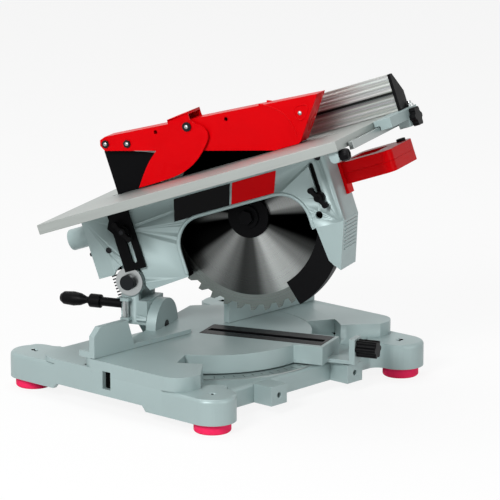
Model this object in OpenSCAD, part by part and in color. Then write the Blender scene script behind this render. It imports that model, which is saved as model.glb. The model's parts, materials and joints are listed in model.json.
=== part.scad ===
// Mitre saw with an upper saw table.
// Origin at the centre of the four feet on the bench, X to the operator's right, Y to the rear, Z up.
// Head pieces are drawn in a level frame at the chop pivot: x across, u to the rear, v up.

/* [Pose shown] */
// Turn of the turntable, handle towards the right
mitre_rest = 20; // [-45:1:45]
// Lift of the head above level
chop_rest = 19; // [8:1:30]

/* [Base] */
// Spacing of the feet from left to right
foot_span_x = 360; // [350:1:400]
// Spacing of the feet from front to rear
foot_span_y = 316; // [310:1:350]
// Diameter of a rubber foot
foot_d = 47; // [36:1:56]
// Height of a rubber foot
foot_h = 14; // [8:1:16]
// Radius of a corner lobe
lobe_r = 30; // [29:1:34]
// Height of the corner lobes
lobe_top = 47; // [44:0.5:48]
// Height of the rear deck
deck_top = 53.5; // [50:0.5:60]
// Height of the work surface
work_z = 65; // [62:0.5:70]
// Thickness of the casting's walls
base_wall = 6; // [4:0.5:9]
// Width of the mitre scale in front of the turntable
scale_w = 16; // [12:1:20]
// Distance of the front edge of the work surface from the middle
wing_front = 130; // [124:1:132]
// Corner radius of the work surface
wing_r = 28; // [20:1:30]
// Distance of the mitre axis behind the middle
axis_y = 14; // [10:1:18]
// Diameter of the bench bolt holes
bench_hole_d = 7; // [5:0.5:9]
// Width of a front boss
boss_w = 29; // [20:1:32]
// Reach of a front boss ahead of the apron
boss_reach = 30; // [15:1:32]
// Diameter of the bore in a front boss
boss_bore_d = 7; // [4:0.5:12]

/* [Fence] */
// Height of the fence above the work surface
fence_h = 39.5; // [30:0.5:42]
// Thickness of the fence
fence_t = 9; // [6:0.5:12]
// Distance of the fence face behind the mitre axis
fence_back = 4; // [2:0.5:6]
// Height of the low inner stretch of the left fence
fence_low = 6; // [4:0.5:7]
// Screw diameter of the fence
fence_screw_d = 6; // [4:0.5:8]

/* [Turntable] */
// Radius of the turntable
turntable_r = 132; // [128:0.5:134]
// Thickness of the turntable
turntable_t = 24; // [20:0.5:26]
// Thickness of the turntable's top plate
plate_t = 10; // [8:0.5:12]
// Width of the front arm
arm_w = 60; // [58:1:66]
// Reach of the front arm's tall stretch from the mitre axis
arm_reach = 168; // [164:1:172]
// Reach of the front arm's end post from the mitre axis
post_reach = 205; // [202:0.5:207]
// Diameter of the centre bolt
axle_d = 16; // [12:0.5:18]
// Diameter of the mitre lock knob
mitre_knob_d = 24; // [18:1:26]
// Width of the kerf insert
insert_w = 50; // [44:1:54]

/* [Bevel joint] */
// Radius of the bevel flanges
flange_r = 36; // [32:0.5:38]
// Thickness of each bevel flange
flange_t = 14; // [10:0.5:14]
// Distance of the bevel flanges behind the mitre axis
flange_y = 62; // [61:0.5:64]
// Diameter of the bevel pin
bevel_pin_d = 14; // [10:0.5:18]

/* [Chop pivot] */
// Distance of the chop pivot behind the mitre axis
pivot_y = 100; // [98:0.5:104]
// Height of the chop pivot above the bench
pivot_z = 127; // [124:0.5:132]
// Radius of the bracket's ears
ear_r = 19; // [17:0.5:20]
// Thickness of an ear
ear_t = 8; // [6:0.5:9]
// Diameter of the chop pivot bolt
pivot_d = 16; // [10:0.5:18]
// Wire diameter of the return spring
spring_wire = 2.2; // [1.6:0.1:2.6]
// Mean radius of the return spring
spring_r = 9; // [7:0.25:10]
// Curls of the return spring
spring_turns = 7; // [5:1:9]
// Length of the return spring as shown
spring_len = 32; // [30:0.5:36]

/* [Head casing] */
// Left face of the casing from the blade
casing_left = 32; // [30:0.5:36]
// Right face of the casing from the blade
casing_right = 20; // [19:0.5:24]
// Wall thickness of the casing
casing_wall = 4; // [3:0.25:5]
// Rear end of the casing behind the pivot
casing_rear = 41.5; // [40:0.5:44]
// Room between the lower guard and the casing's nose
nose_room = 2.4; // [1.4:0.2:8]
// Height of the casing's rear underside over the pivot
casing_under = 13.3; // [12:0.1:15]
// Top of the blade window over the pivot
window_top = 57; // [50:0.5:58]
// Length of the blade window
window_len = 186; // [170:1:190]
// Corner radius of the blade window
window_r = 38; // [25:1:45]
// Height of the joint between casing and front shroud
shroud_top = 4; // [2:0.5:8]
// Drop of the front shroud's tip under the pivot
shroud_drop = 56; // [45:0.5:57]
// Outer diameter of the dust port
dust_d = 28; // [24:0.5:32]
// Wall of the dust port
dust_wall = 2.5; // [1.5:0.25:4]
// Length of the dust port
dust_len = 34; // [30:1:50]

/* [Blade] */
// Diameter of the blade
blade_d = 250; // [246:0.5:252]
// Distance of the blade's centre ahead of the pivot
blade_u = 177.6; // [175:0.2:180]
// Height of the blade's centre over the pivot
blade_v = 38.4; // [37:0.2:40]
// Thickness of the blade
blade_t = 2.4; // [1.8:0.1:3]
// Number of teeth
blade_teeth = 40; // [24:4:60]
// Depth of a tooth gullet
gullet = 8; // [5:0.5:10]
// Diameter of the blade flanges
clamp_d = 56; // [46:1:60]
// Diameter of the spindle
spindle_d = 20; // [16:0.5:22]
// Radial depth of the lower guard
guard_depth = 33.5; // [25:0.5:40]
// Radial room between the blade and the lower guard's rim
guard_room = 4.5; // [3.5:0.25:5]
// Thickness of the lower guard's rim
guard_rim_t = 1.5; // [1:0.25:2]

/* [Motor] */
// Distance of the motor axis ahead of the pivot
motor_u = 95; // [92:0.5:100]
// Height of the motor axis over the pivot
motor_v = 50; // [46:0.5:51]
// Diameter of the motor housing
motor_d = 90; // [80:1:92]
// Length of the motor housing
motor_len = 132; // [120:1:140]
// Length of the motor end cap
cap_len = 20; // [16:1:26]
// Diameter of the rotor shaft
shaft_d = 12; // [8:0.5:14]
// Diameter of the driven pulley
big_pulley_d = 60; // [50:0.5:62]
// Diameter of the motor pulley
small_pulley_d = 36; // [30:0.5:40]

/* [Handle] */
// Width of the handle
handle_w = 92; // [86:1:100]
// Reach of the handle ahead of the casing
handle_reach = 73; // [66:1:76]
// Thickness of the handle's bars
handle_bar = 26; // [24:0.5:28]
// Height of the handle section
handle_h = 28; // [26:0.5:34]
// Height of the handle's middle over the pivot
handle_v = 58; // [54:0.5:62]
// Width of the trigger
trigger_w = 34; // [24:1:40]
// Diameter of the lock-off button
button_d = 12; // [8:0.5:14]

/* [Upper table] */
// Left edge of the table from the blade
table_left = 134.5; // [125:0.5:145]
// Right edge of the table from the blade
table_right = 121; // [121:0.5:130]
// Rear edge of the table behind the pivot
table_rear = 49.5; // [46:0.5:56]
// Front edge of the table ahead of the pivot
table_front = 380; // [374:0.5:384]
// Height of the table's underside over the pivot
table_under = 98.2; // [98:0.1:100]
// Thickness of the table
table_t = 12.8; // [11:0.2:14]
// Width of the blade slot
slot_w = 9; // [8:0.25:12]
// Travel of the table
table_travel = 40; // [30:1:40]
// Height of the front rail
rail_h = 10; // [8:0.5:12]

/* [Rip fence] */
// Left face of the rip fence from the blade
rip_x = 58; // [54:0.5:70]
// Width of the rip fence
rip_w = 30; // [28:1:36]
// Width of the rip fence at its top
rip_top_w = 8; // [7:0.5:12]
// Height of the rip fence
rip_h = 48.5; // [40:0.5:56]
// Height at which its sloping back begins
rip_heel = 22; // [16:0.5:26]
// Wall of the rip fence extrusion
rip_wall = 3; // [2.5:0.25:3.5]
// Depth of the ribs on the rip fence
rib_depth = 1.2; // [0.6:0.1:1.6]

/* [Crown guard] */
// Outer width of the crown guard
crown_w = 28; // [24:0.5:30]
// Sheet thickness of the crown guard
crown_t = 2.5; // [1.5:0.25:3]
// Thickness of the riving knife
knife_t = 2.4; // [1.8:0.1:3]
// Outer width of the flap
flap_w = 40; // [37:0.5:44]
// Bolt diameter of the crown guard
crown_bolt_d = 6; // [4:0.5:7]

/* [Clearances] */
// Radial clearance of a turning or sliding fit
running = 0.05; // [0.02:0.01:0.1]
// Gap between pieces that pass each other
slip = 0.5; // [0.3:0.05:0.8]
// Radial clearance of a screw hole
screw_fit = 0.2; // [0.05:0.05:0.4]

/* [Hidden] */
$fn = 64;

// Overlap of joined solids and overshoot of cuts
joined = 1;
over = 60;

// Outside of the lower guard and front end of the casing ahead of the pivot
guard_out = blade_d / 2 + guard_room + guard_rim_t;
casing_front = blade_u + guard_out + nose_room + casing_wall;

// Base levels and plan
base_half_x = foot_span_x / 2 + lobe_r;
lobe_in = foot_span_x / 2 - lobe_r;
scale_in = turntable_r + 6;
scale_out = scale_in + scale_w;
scale_edge = 2;
apron_half = scale_out + scale_edge - axis_y;
lobe_fillet = foot_span_y / 2 - apron_half;
turntable_z = work_z - turntable_t;
seat_gap = 0.1;
scale_t = 1.2;
floor_z = turntable_z - scale_t - 2 * slip;
floor_t = base_wall;
seat_ring_r = 60;
boss_x = 72.5;
foot_edge = 2;
foot_taper = [1, 3];
notch_front = 66;
notch_rear = 86;
notch_h = 7;
wing_rear = 48;
deck_rear = 122;
hub_z = 22;
hub_r = 25;
bolt_head_h = 9;
wall_slot = [14, 23];
wall_slot_y = -4;
wall_slot_z = 30;
sweep_tall = 61;
sweep_low = 50;
wing_hollow_w = base_half_x - turntable_r - 4 * base_wall;
wing_hollow_front = 88;
wing_hollow_x = (base_half_x + turntable_r + 2 * base_wall) / 2;

// Fence stations along the base
fence_y = axis_y + fence_back;
fence_end = base_half_x - 1;
fence_tall_in = 149;
fence_step_in = 137;
fence_gap_left = 32;
fence_gap_right = 40;
fence_foot_l = 62;
fence_foot_d = 18;
fence_foot_h = 8;
fence_screw_x = [152, 192];
fence_screw_len = 8;
fence_head_d = 1.7 * fence_screw_d;
fence_screw_y = fence_y + fence_t + fence_foot_d / 2;
fence_chamfer = 11;

// Turntable details
skirt_t = 8;
turn_hub_r = 17;
bar_w = 24;
bar_t = 5;
post_t = 8;
post_top = work_z + 9;
knob_z = post_top - 13;
knob_stem_d = 10;
knob_len = 27;
kerf_front = arm_reach - 10;
kerf_rear = 2;
kerf_left = 6;
kerf_right = 24;
insert_t = 3;
insert_edge = 5;
insert_slot = [4, 7];
insert_mid = 3;
knob_stem_past = 3;
bolt_hex_d = 1.8 * axle_d;

// Bevel and bracket details
bracket_y = flange_y + flange_t + 0.3;
bracket_rear = bracket_y + flange_t;
flange_low = -16;
flange_skew = -22.6;
ear_left = -casing_left + 1;
ear_right = casing_right + 1;
neck_front = 12;
neck_rear = 12;
web_low = work_z + 5;
web_top = pivot_z - 25;
floor_plate_t = 8;
disc_t = 3.2;
bolt_head_r = 10;
bolt_head_t = 8;
post_d = 8;
post_low = work_z + 11;
post_lug = 4;
post_len = 22;
post_y = pivot_y + 4;
post_lug_out = post_d + 2;
post_lug_half = 6;
gusset_h = 24;
disc_right_r = ear_r - 2;
nut_r = bolt_head_r + 3;
bolt_past = 2;
lever_x = -15;
lever_z = work_z + 27;
lever_stem_d = 10;
lever_stem_in = 2;
// Radius and distance from the bracket along the lever's grip
lever_end = 117;
lever_profile = [[6, 58], [9, 59], [9, 74], [4.5, 77], [4.5, 80], [8, 88], [9.5, 98], [8.5, 112],
                 [5, lever_end]];

// Return spring, between the bracket's seat and the casing's underside
spring_x = 4;
spring_u = 31;
spring_top = casing_under - 0.3;
spring_foot = spring_top - spring_len;
seat_t = 7;
seat_half = spring_r + spring_wire;

// Casing stations in the head frame
casing_top = table_under - slip;
split_x = -6;
pivot_cut = ear_r + 4;
lobe_drop = 17.8;
lobe_rear = 24;
lobe_front = 81;
lobe_front_drop = 14;
lobe_slope = 14;
shroud_deep = 40;
window_rear = 84;
window_mid_u = -window_rear - window_len / 2;
window_h = 150;
lip_w = 4;
lip_t = 6;
boss_r = 5;
front_slot_u = 294.4;
front_stud_v = 41;
rear_slot_u = 19;
rear_stud_v = 66;
stud_d = 6;
slot_room = 0.5;
key_hole = [30, 19];
key_hole_d = 10;
screw_sunk = 0.4;
rear_screw_x = -20;
rear_screw_v = 46;
rear_screw_d = 5;
rear_screw_len = 7.5;
rear_nut_d = 9;
rear_nut_t = 3.5;
cover_screw_at = [[15.6, 46.3], [-casing_front + 8.5, 90]];
cover_screw_d = 5;
cover_head_d = 8;
dust_x = split_x;
dust_v = 70;
label_t = 0.8;
inner_left = -casing_left + casing_wall;
inner_right = casing_right - casing_wall;
hinge_boss_r = pivot_d / 2 + 7;
arm_rear = pivot_cut + 2;
arm_front = pivot_cut + 20;
arm_low = -8;
arm_top = 55;
arm_heel = [-12, arm_low];
arm_back = [14, 5];

// Front shroud: distances behind the casing's front and drops along its rear edge
shroud_len = 39.5;
shroud_heel = [36, shroud_drop - 16];
shroud_toe = [31, shroud_drop - 8];
shroud_tip = 24;
shroud_ribs = 8;
shroud_rib_r = 1.2;
shroud_rib_step = 0.075;

// Label plates, from left to right along the head
label_low = window_top + 2.5;
label_high = window_top + 31;
label_black_u = [-88, -169, -179.5, -97];
label_red_u = [-172, -234, -246.5, -183];
dust_flange = 4;

// Drive stations across the head
neck_r = 23.7;
neck_x = 7;
bearing_r = 16;
bearing_x = 8;
bearing_t = 6.5;
clamp_t = 5;
belt_x = 26;
belt_w = 10;
belt_t = 3;
cover_depth = 24;
cover_wall = 3;
cover_r = motor_d / 2 - 4;
motor_x = casing_right + cover_depth;
motor_wall = 3;
motor_in_r = motor_d / 2 - 5;
motor_front_t = 12;
motor_bearing_r = 13;
cap_bearing_r = 11;
cap_bearing_x = motor_x + motor_len + 3;
cap_bearing_t = 8;
motor_ribs = 24;
motor_rib_h = 2;
cap_slots = 9;
cap_edge = 8;
stator_x = [30, 90];
stator_in = 15;
armature_x = [28, 92];
commutator_x = [96, 112];
fan_x = [117, 124];
pulley_edge = 2;

// Line from the driven pulley to the motor pulley, and the angle from it to the belt's tangent points
belt_way = [blade_u - motor_u, motor_v - blade_v];
belt_lean = atan2(belt_way[1], belt_way[0]);
belt_open = acos((big_pulley_d - small_pulley_d) / 2 / norm(belt_way));
belt_steps = 20;

// Lower guard
guard_in = guard_out - guard_depth;
guard_half = 9;
guard_wall = 2;
guard_from = 195;
guard_to = 255;
hub_ring_t = 5;
hub_ring_w = 8;
guard_arm_in = 15;

// Tooth stations as shares of the pitch, and the fall of a tooth's back
tooth_face = 0.05;
tooth_root = 0.4;
tooth_back = 0.72;
tooth_fall = 1.2;
arbor_washer_t = 3;
arbor_head_t = 8;

// Handle stations
handle_left = 1;
handle_back = casing_front;
handle_end = -handle_back - handle_reach;
handle_arm = 22;
handle_root = 8;
trigger_x = handle_left + handle_w / 2;
trigger_deep = 18;
trigger_h = 16;
trigger_out = 8;
trigger_end = handle_end + handle_bar + trigger_out;
button_x = handle_left + handle_w - handle_arm / 2;
button_u = handle_end + handle_bar / 2;
button_h = 7;
button_pocket = 8;
button_sunk = 3.5;
trigger_pocket = 9;
handle_r = 12;
handle_in_r = 10;
handle_root_up = 32;
handle_root_down = 26;
gland_d = 11;
gland_flange_d = 16;
gland_bore_d = 6.8;
gland_flange_t = 4;
gland_len = 22;

// Upper table stations
table_top = table_under + table_t;
rail_t = 6;
rail_gap = 1.5;
rail_u = table_front + rail_gap + rail_t / 2;
rail_left = 100;
rail_right = rip_x + rip_w + 33;
insert_half = 22;
insert_front = 330;
insert_back = 2;
table_insert_t = 3;
guide_t = 4;
guide_x = ear_left - disc_t - slip - guide_t;
inner_guide_x = inner_left + 0.6;
inner_guide_t = 3;
slot_front = 10;
slot_back = 6;
rail_lug_w = 20;
rail_lug_in = [10, 20];

// Rear guide's outline and front guide's size
guide_front = -31.5;
guide_rear = -1;
guide_bulge = 6;
guide_bulge_v = [rear_stud_v, rear_stud_v + 8, rear_stud_v + 18];
front_guide_w = 19;
front_guide_in = 5;
front_guide_low = 12;
stud_out = 12;

// Two-winged grips
grip_hub_d = 14;
grip_hub_t = 5;
grip_t = 6;
grip_reach = 13;
grip_thick = 5;
grip_turn = 60;

// Crown guard, pivoted on the riving knife
crown_pivot = [-18.5, 179.2];
crown_spacer = [-48.3, 171.8];
flap_pivot = [-140.4, 172];
crown_low = table_top + slip;
flap_wall = crown_t;
crown_nut_t = 2.5;
knife_room = 5;
clamp_block = [[-44, 60], [-10, 80]];
clamp_screw_u = [-36, -18];
clamp_screw_d = 10;
clamp_screw_t = 4;
crown_hole_d = 5;
crown_holes = [[-92, 176], [-193, 167]];
crown_nut_d = 1.8 * crown_bolt_d;
flap_head_t = 3;
// Rear edge, foot and front edge of the riving knife, beside its ear
knife_rear = [[-6.7, 58], [-6.7, 170]];
knife_front = [[-34, 164], [-75, 150], [-90, 130], [-56, 80], [-48, 58]];
// Crown guard from its round rear end over the ridge to its nose and back along its lower edge
crown_ridge = [[-20, 188.5], [-216, 174], [-324.5, 165.8]];
crown_end = [[-14, 171], [-10, 179], [-12, 186]];
crown_low_edge = [[-283, crown_low + 2], [-279.5, crown_low], [-245, crown_low]];
crown_inside = [[-320, 166.3], [-281.5, 113 + crown_t]];
// Flap from its folded tab down the front edge to its tip and back up
flap_tab = [[-116, 188], [-145, 190.5]];
flap_front = [[-158.6, 180], [-159, 170], [-165.5, 151], [-149, 139], [-123, 121], [-103, 114]];
flap_rear = [[-48, crown_low + 1], [-67, 135], [-89, 152], [-110, 166.5]];
flap_bridge = [[-112, 192], [-114, 185.5], [-139, 188], [-140, 195]];
flap_inside = [[-175, 195], [-175, 100], [-40, 100], [-40, 135], [-80, 175]];

// Rip fence stations
rip_rear = 10;
rip_front = 393;
rip_low = table_top + slip;
rip_run = rip_w - rip_top_w;
rip_rise = rip_h - rip_heel;
rip_slope = norm([rip_run, rip_rise]);
carrier_u = rail_u + rail_t / 2 + slip;
carrier_t = 16;
rip_stem_d = 8;
rip_knob_d = 26;
rip_knob_t = 8;
rip_ribs = 5;
rip_rib_pitch = rip_h / 12;
rip_rib_from = 2;
rip_groove_w = 3;
rip_groove_deep = 1.8;
rip_cap_t = 4;
carrier_side = 8;
carrier_reach = 60;

// Placement frames
module on_axis() translate([0, axis_y, 0]) children();
module on_turntable() on_axis() rotate([0, 0, mitre_rest]) children();
module on_head() on_turntable() translate([0, pivot_y, pivot_z]) rotate([-chop_rest, 0, 0]) children();
module at_blade() translate([0, -blade_u, blade_v]) children();
module at_motor() translate([0, -motor_u, motor_v]) children();

// Extrudes a side outline (u, v) across the head from x0 to x1
module side(x0, x1) translate([x0, 0, 0]) rotate([90, 0, 90]) linear_extrude(x1 - x0) children();
// Extrudes an end outline (x, v) along u from y0 to y1
module along(y0, y1) translate([0, y1, 0]) rotate([90, 0, 0]) linear_extrude(y1 - y0) children();
// Rods across, along and upright
module rod_x(x0, x1, r, u = 0, v = 0) translate([x0, u, v]) rotate([0, 90, 0]) cylinder(h = x1 - x0, r = r);
module rod_y(y0, y1, r, x = 0, z = 0) translate([x, y0, z]) rotate([-90, 0, 0]) cylinder(h = y1 - y0, r = r);
module rod_z(z0, z1, r, x = 0, y = 0) translate([x, y, z0]) cylinder(h = z1 - z0, r = r);
// Box between two corners
module box(a, b) translate(a) cube(b - a);
module four_corners() for (mx = [0, 1], my = [0, 1]) mirror([mx, 0, 0]) mirror([0, my, 0]) children();

// Rectangle with round corners, centred
module round_rect(w, h, r) {
    square([w - 2 * r, h], center = true);
    square([w, h - 2 * r], center = true);
    for (sx = [-1, 1], sy = [-1, 1]) translate([sx * (w / 2 - r), sy * (h / 2 - r)]) circle(r = r);
}
// Straight slot with round ends, centred on its first end
module slot_2d(w, len) {
    circle(d = w);
    translate([0, len]) circle(d = w);
    translate([-w / 2, 0]) square([w, len]);
}
// Sector of a disc between two angles less than half a turn apart
module sector(r, a0, a1) intersection() {
    circle(r = r);
    polygon([[0, 0], for (k = [0:4]) 2 * r * [cos(a0 + k * (a1 - a0) / 4), sin(a0 + k * (a1 - a0) / 4)]]);
}
module ring_sector(r0, r1, a0, a1) difference() {
    sector(r1, a0, a1);
    circle(r = r0);
}
// Star grip with rounded lobes
module star(d, lobes = 6) {
    circle(d = d * 0.78);
    for (k = [0:lobes - 1]) rotate(k * 360 / lobes) translate([d * 0.36, 0]) circle(d = d * 0.28);
}
// Two-winged grip
module wings(reach, thick) {
    circle(d = thick * 2);
    square([2 * reach, thick], center = true);
    for (s = [-1, 1]) translate([s * reach, 0]) circle(d = thick * 1.5);
}

// Base

module lobe_plan() {
    translate([foot_span_x / 2, foot_span_y / 2]) circle(r = lobe_r);
    translate([lobe_in, apron_half - joined]) square([2 * lobe_r, lobe_fillet + joined]);
    difference() {
        translate([lobe_in - lobe_fillet, apron_half - joined]) square(lobe_fillet + joined);
        translate([lobe_in - lobe_fillet, foot_span_y / 2]) circle(r = lobe_fillet);
    }
}
module base_plan() {
    square([2 * base_half_x, 2 * apron_half], center = true);
    four_corners() lobe_plan();
}
// Room that the turntable's arm sweeps above a height
module arm_way(z, reach, half_angle) on_axis() translate([0, 0, z]) linear_extrude(over)
    sector(reach + 2 * slip, -90 - half_angle, -90 + half_angle);
// Room cut from the base and its wings: hollows, turntable well, ways of the arm, wall slots
module base_cuts() {
    for (s = [-1, 1])
        box([s * wing_hollow_x - wing_hollow_w / 2, -wing_hollow_front, 0],
            [s * wing_hollow_x + wing_hollow_w / 2, wing_rear - base_wall, work_z - base_wall]);
    on_axis() rod_z(floor_z, work_z + over, turntable_r + slip);
    arm_way(floor_z, norm([arm_reach, arm_w / 2]), sweep_tall);
    arm_way(floor_z, norm([post_reach, bar_w / 2]), sweep_low);
    for (s = [-1, 1])
        translate([s * base_half_x, wall_slot_y, wall_slot_z + wall_slot[1] / 2])
            cube([4 * base_wall, wall_slot[0], wall_slot[1]], center = true);
}
module base_casting() color("lightslategray") difference() {
    union() {
        difference() {
            translate([0, 0, foot_h]) linear_extrude(lobe_top - foot_h) base_plan();
            // Hollow underside
            box([-base_half_x + base_wall, -apron_half + base_wall, -over],
                [base_half_x - base_wall, apron_half - base_wall, floor_z - floor_t]);
            base_cuts();
            // Raised skirt between the feet
            side(-base_half_x - over, base_half_x + over)
                polygon([[-notch_front - notch_h, foot_h - joined], [-notch_front, foot_h + notch_h],
                         [notch_rear, foot_h + notch_h], [notch_rear + notch_h, foot_h - joined]]);
        }
        // Seat of the turntable, hub, ribs and pillars over the feet
        on_axis() difference() {
            rod_z(floor_z - joined, turntable_z - seat_gap, seat_ring_r);
            rod_z(0, work_z, seat_ring_r - 2 * base_wall);
        }
        on_axis() rod_z(hub_z, turntable_z - seat_gap, hub_r);
        box([-base_half_x + joined, axis_y - base_wall / 2, hub_z],
            [base_half_x - joined, axis_y + base_wall / 2, floor_z - joined]);
        box([-base_wall / 2, -apron_half + joined, hub_z],
            [base_wall / 2, apron_half - joined, floor_z - joined]);
        four_corners() rod_z(foot_h, lobe_top - joined, foot_d / 2, foot_span_x / 2, foot_span_y / 2);
    }
    on_axis() rod_z(0, work_z, axle_d / 2 + running);
    four_corners() rod_z(0, work_z + over, bench_hole_d / 2, foot_span_x / 2, foot_span_y / 2);
}
// Raised work surface on each side of the turntable, with the low deck behind it
module work_wings() color("lightslategray") difference() {
    translate([0, 0, lobe_top]) {
        translate([0, (wing_rear - wing_front) / 2, 0]) linear_extrude(work_z - lobe_top)
            round_rect(2 * base_half_x, wing_rear + wing_front, wing_r);
        translate([0, deck_rear / 2, 0]) linear_extrude(deck_top - lobe_top)
            round_rect(2 * base_half_x, deck_rear, wing_r);
    }
    base_cuts();
    arm_way(lobe_top - joined, post_reach + knob_len + mitre_knob_d, sweep_low);
    for (s = [-1, 1], x = fence_screw_x)
        rod_z(work_z - fence_screw_len, work_z + joined, fence_screw_d / 2 + screw_fit, s * x, fence_screw_y);
}
module stop_blocks() color("lightslategray") for (s = [-1, 1])
translate([s * boss_x, -apron_half, 0]) difference() {
    box([-boss_w / 2, -boss_reach, foot_h], [boss_w / 2, 0, floor_z]);
    rod_y(-boss_reach - joined, -joined, boss_bore_d / 2, 0, (foot_h + floor_z) / 2);
}

module rubber_feet() color("crimson") four_corners()
translate([foot_span_x / 2, foot_span_y / 2, 0]) difference() {
    rotate_extrude() polygon([[0, 0], [foot_d / 2 - foot_edge, 0], [foot_d / 2, foot_edge],
                              [foot_d / 2, foot_h - foot_taper[1]], [foot_d / 2 - foot_taper[0], foot_h],
                              [0, foot_h]]);
    rod_z(-joined, foot_h + joined, bench_hole_d / 2);
}

module mitre_scale() color("silver") on_axis() translate([0, 0, floor_z]) linear_extrude(scale_t)
    ring_sector(scale_in, scale_out, -90 - sweep_low, -90 + sweep_low);

// Fence standing behind its outline, with a foot on the work surface
module fence_body(inner_outline, s) {
    along(fence_y, fence_y + fence_t) polygon(inner_outline);
    foot_in = s > 0 ? fence_end - fence_foot_l : -fence_end;
    difference() {
        box([foot_in, fence_y + fence_t - joined, work_z],
            [foot_in + fence_foot_l, fence_y + fence_t + fence_foot_d, work_z + fence_foot_h]);
        for (x = fence_screw_x)
            rod_z(work_z - joined, work_z + over, fence_screw_d / 2 + screw_fit, s * x, fence_screw_y);
    }
}
module fence_left() color("lightslategray") fence_body([
    [-fence_end, work_z + slip], [-fence_gap_left, work_z + slip], [-fence_gap_left, work_z + fence_low],
    [-fence_step_in, work_z + fence_low], [-fence_tall_in, work_z + fence_h],
    [-fence_end + fence_chamfer, work_z + fence_h], [-fence_end, work_z + fence_h - fence_chamfer]
], -1);
module fence_right() color("lightslategray") fence_body([
    [fence_end, work_z + slip], [fence_gap_right, work_z + slip], [fence_gap_right, work_z + fence_h],
    [fence_end - fence_chamfer, work_z + fence_h], [fence_end, work_z + fence_h - fence_chamfer]
], 1);
module fence_screws() color("dimgray") for (s = [-1, 1], x = fence_screw_x)
translate([s * x, fence_screw_y, 0]) {
    rod_z(work_z - fence_screw_len, work_z + fence_foot_h + joined, fence_screw_d / 2);
    difference() {
        rod_z(work_z + fence_foot_h, work_z + fence_foot_h + fence_screw_d, fence_head_d / 2);
        translate([0, 0, work_z + fence_foot_h + fence_screw_d / 2])
            cylinder(h = fence_screw_d, d = fence_screw_d, $fn = 6);
    }
}

// Turntable

module turntable_plan() difference() {
    circle(r = turntable_r);
    translate([-turntable_r, flange_y + flange_t]) square(2 * turntable_r);
}
module turntable() color("lightslategray") on_turntable() difference() {
    union() {
        translate([0, 0, work_z - plate_t]) linear_extrude(plate_t) turntable_plan();
        translate([0, 0, turntable_z]) linear_extrude(turntable_t) difference() {
            turntable_plan();
            circle(r = turntable_r - skirt_t);
        }
        rod_z(turntable_z, work_z - joined, turn_hub_r);
        box([-seat_ring_r, flange_y - joined, turntable_z],
            [seat_ring_r, flange_y + flange_t, work_z - joined]);
        box([-arm_w / 2, -arm_reach, turntable_z], [arm_w / 2, skirt_t - turntable_r, work_z]);
        box([-bar_w / 2, -post_reach, turntable_z], [bar_w / 2, joined - arm_reach, turntable_z + bar_t]);
        box([-bar_w / 2, -post_reach, turntable_z], [bar_w / 2, post_t - post_reach, post_top]);
        translate([0, 0, work_z]) along(flange_y, flange_y + flange_t) intersection() {
            circle(r = flange_r);
            translate([-flange_r, turntable_z - work_z]) square(2 * flange_r);
        }
    }
    box([-kerf_left, -kerf_front, turntable_z - joined], [kerf_right, kerf_rear, work_z - insert_t + joined]);
    translate([insert_mid, 0, 0])
        box([-insert_w / 2, -kerf_front - insert_edge, work_z - insert_t],
            [insert_w / 2, kerf_rear + insert_edge, work_z + joined]);
    rod_z(0, work_z - plate_t / 2, axle_d / 2);
    rod_y(flange_y - joined, flange_y + flange_t + joined, bevel_pin_d / 2, 0, work_z);
    rod_y(-post_reach - joined, post_t + joined - post_reach, knob_stem_d / 2 + running, 0, knob_z);
}
module kerf_insert() color("black") on_turntable() translate([insert_mid, 0, 0]) difference() {
    box([-insert_w / 2 + screw_fit, -kerf_front - insert_edge + screw_fit, work_z - insert_t],
        [insert_w / 2 - screw_fit, kerf_rear + insert_edge - screw_fit, work_z]);
    translate([-insert_mid, 0, 0])
        box([-insert_slot[0], -kerf_front, work_z - insert_t - joined],
            [insert_slot[1], kerf_rear, work_z + joined]);
}
// Centre bolt and the pin on which the bracket tilts
module turntable_pins() color("dimgray") on_turntable() {
    rod_y(flange_y, bracket_rear, bevel_pin_d / 2, 0, work_z);
    rod_z(hub_z - joined, work_z - plate_t / 2, axle_d / 2);
    translate([0, 0, hub_z - bolt_head_h]) cylinder(h = bolt_head_h - seat_gap, d = bolt_hex_d, $fn = 6);
}
module mitre_knob() color("black") on_turntable() translate([0, 0, knob_z]) {
    rod_y(-post_reach - joined, post_t + knob_stem_past - post_reach, knob_stem_d / 2);
    along(-post_reach - slip - knob_len, -post_reach - slip) star(mitre_knob_d);
}

// Bevel bracket and rear pieces

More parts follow.
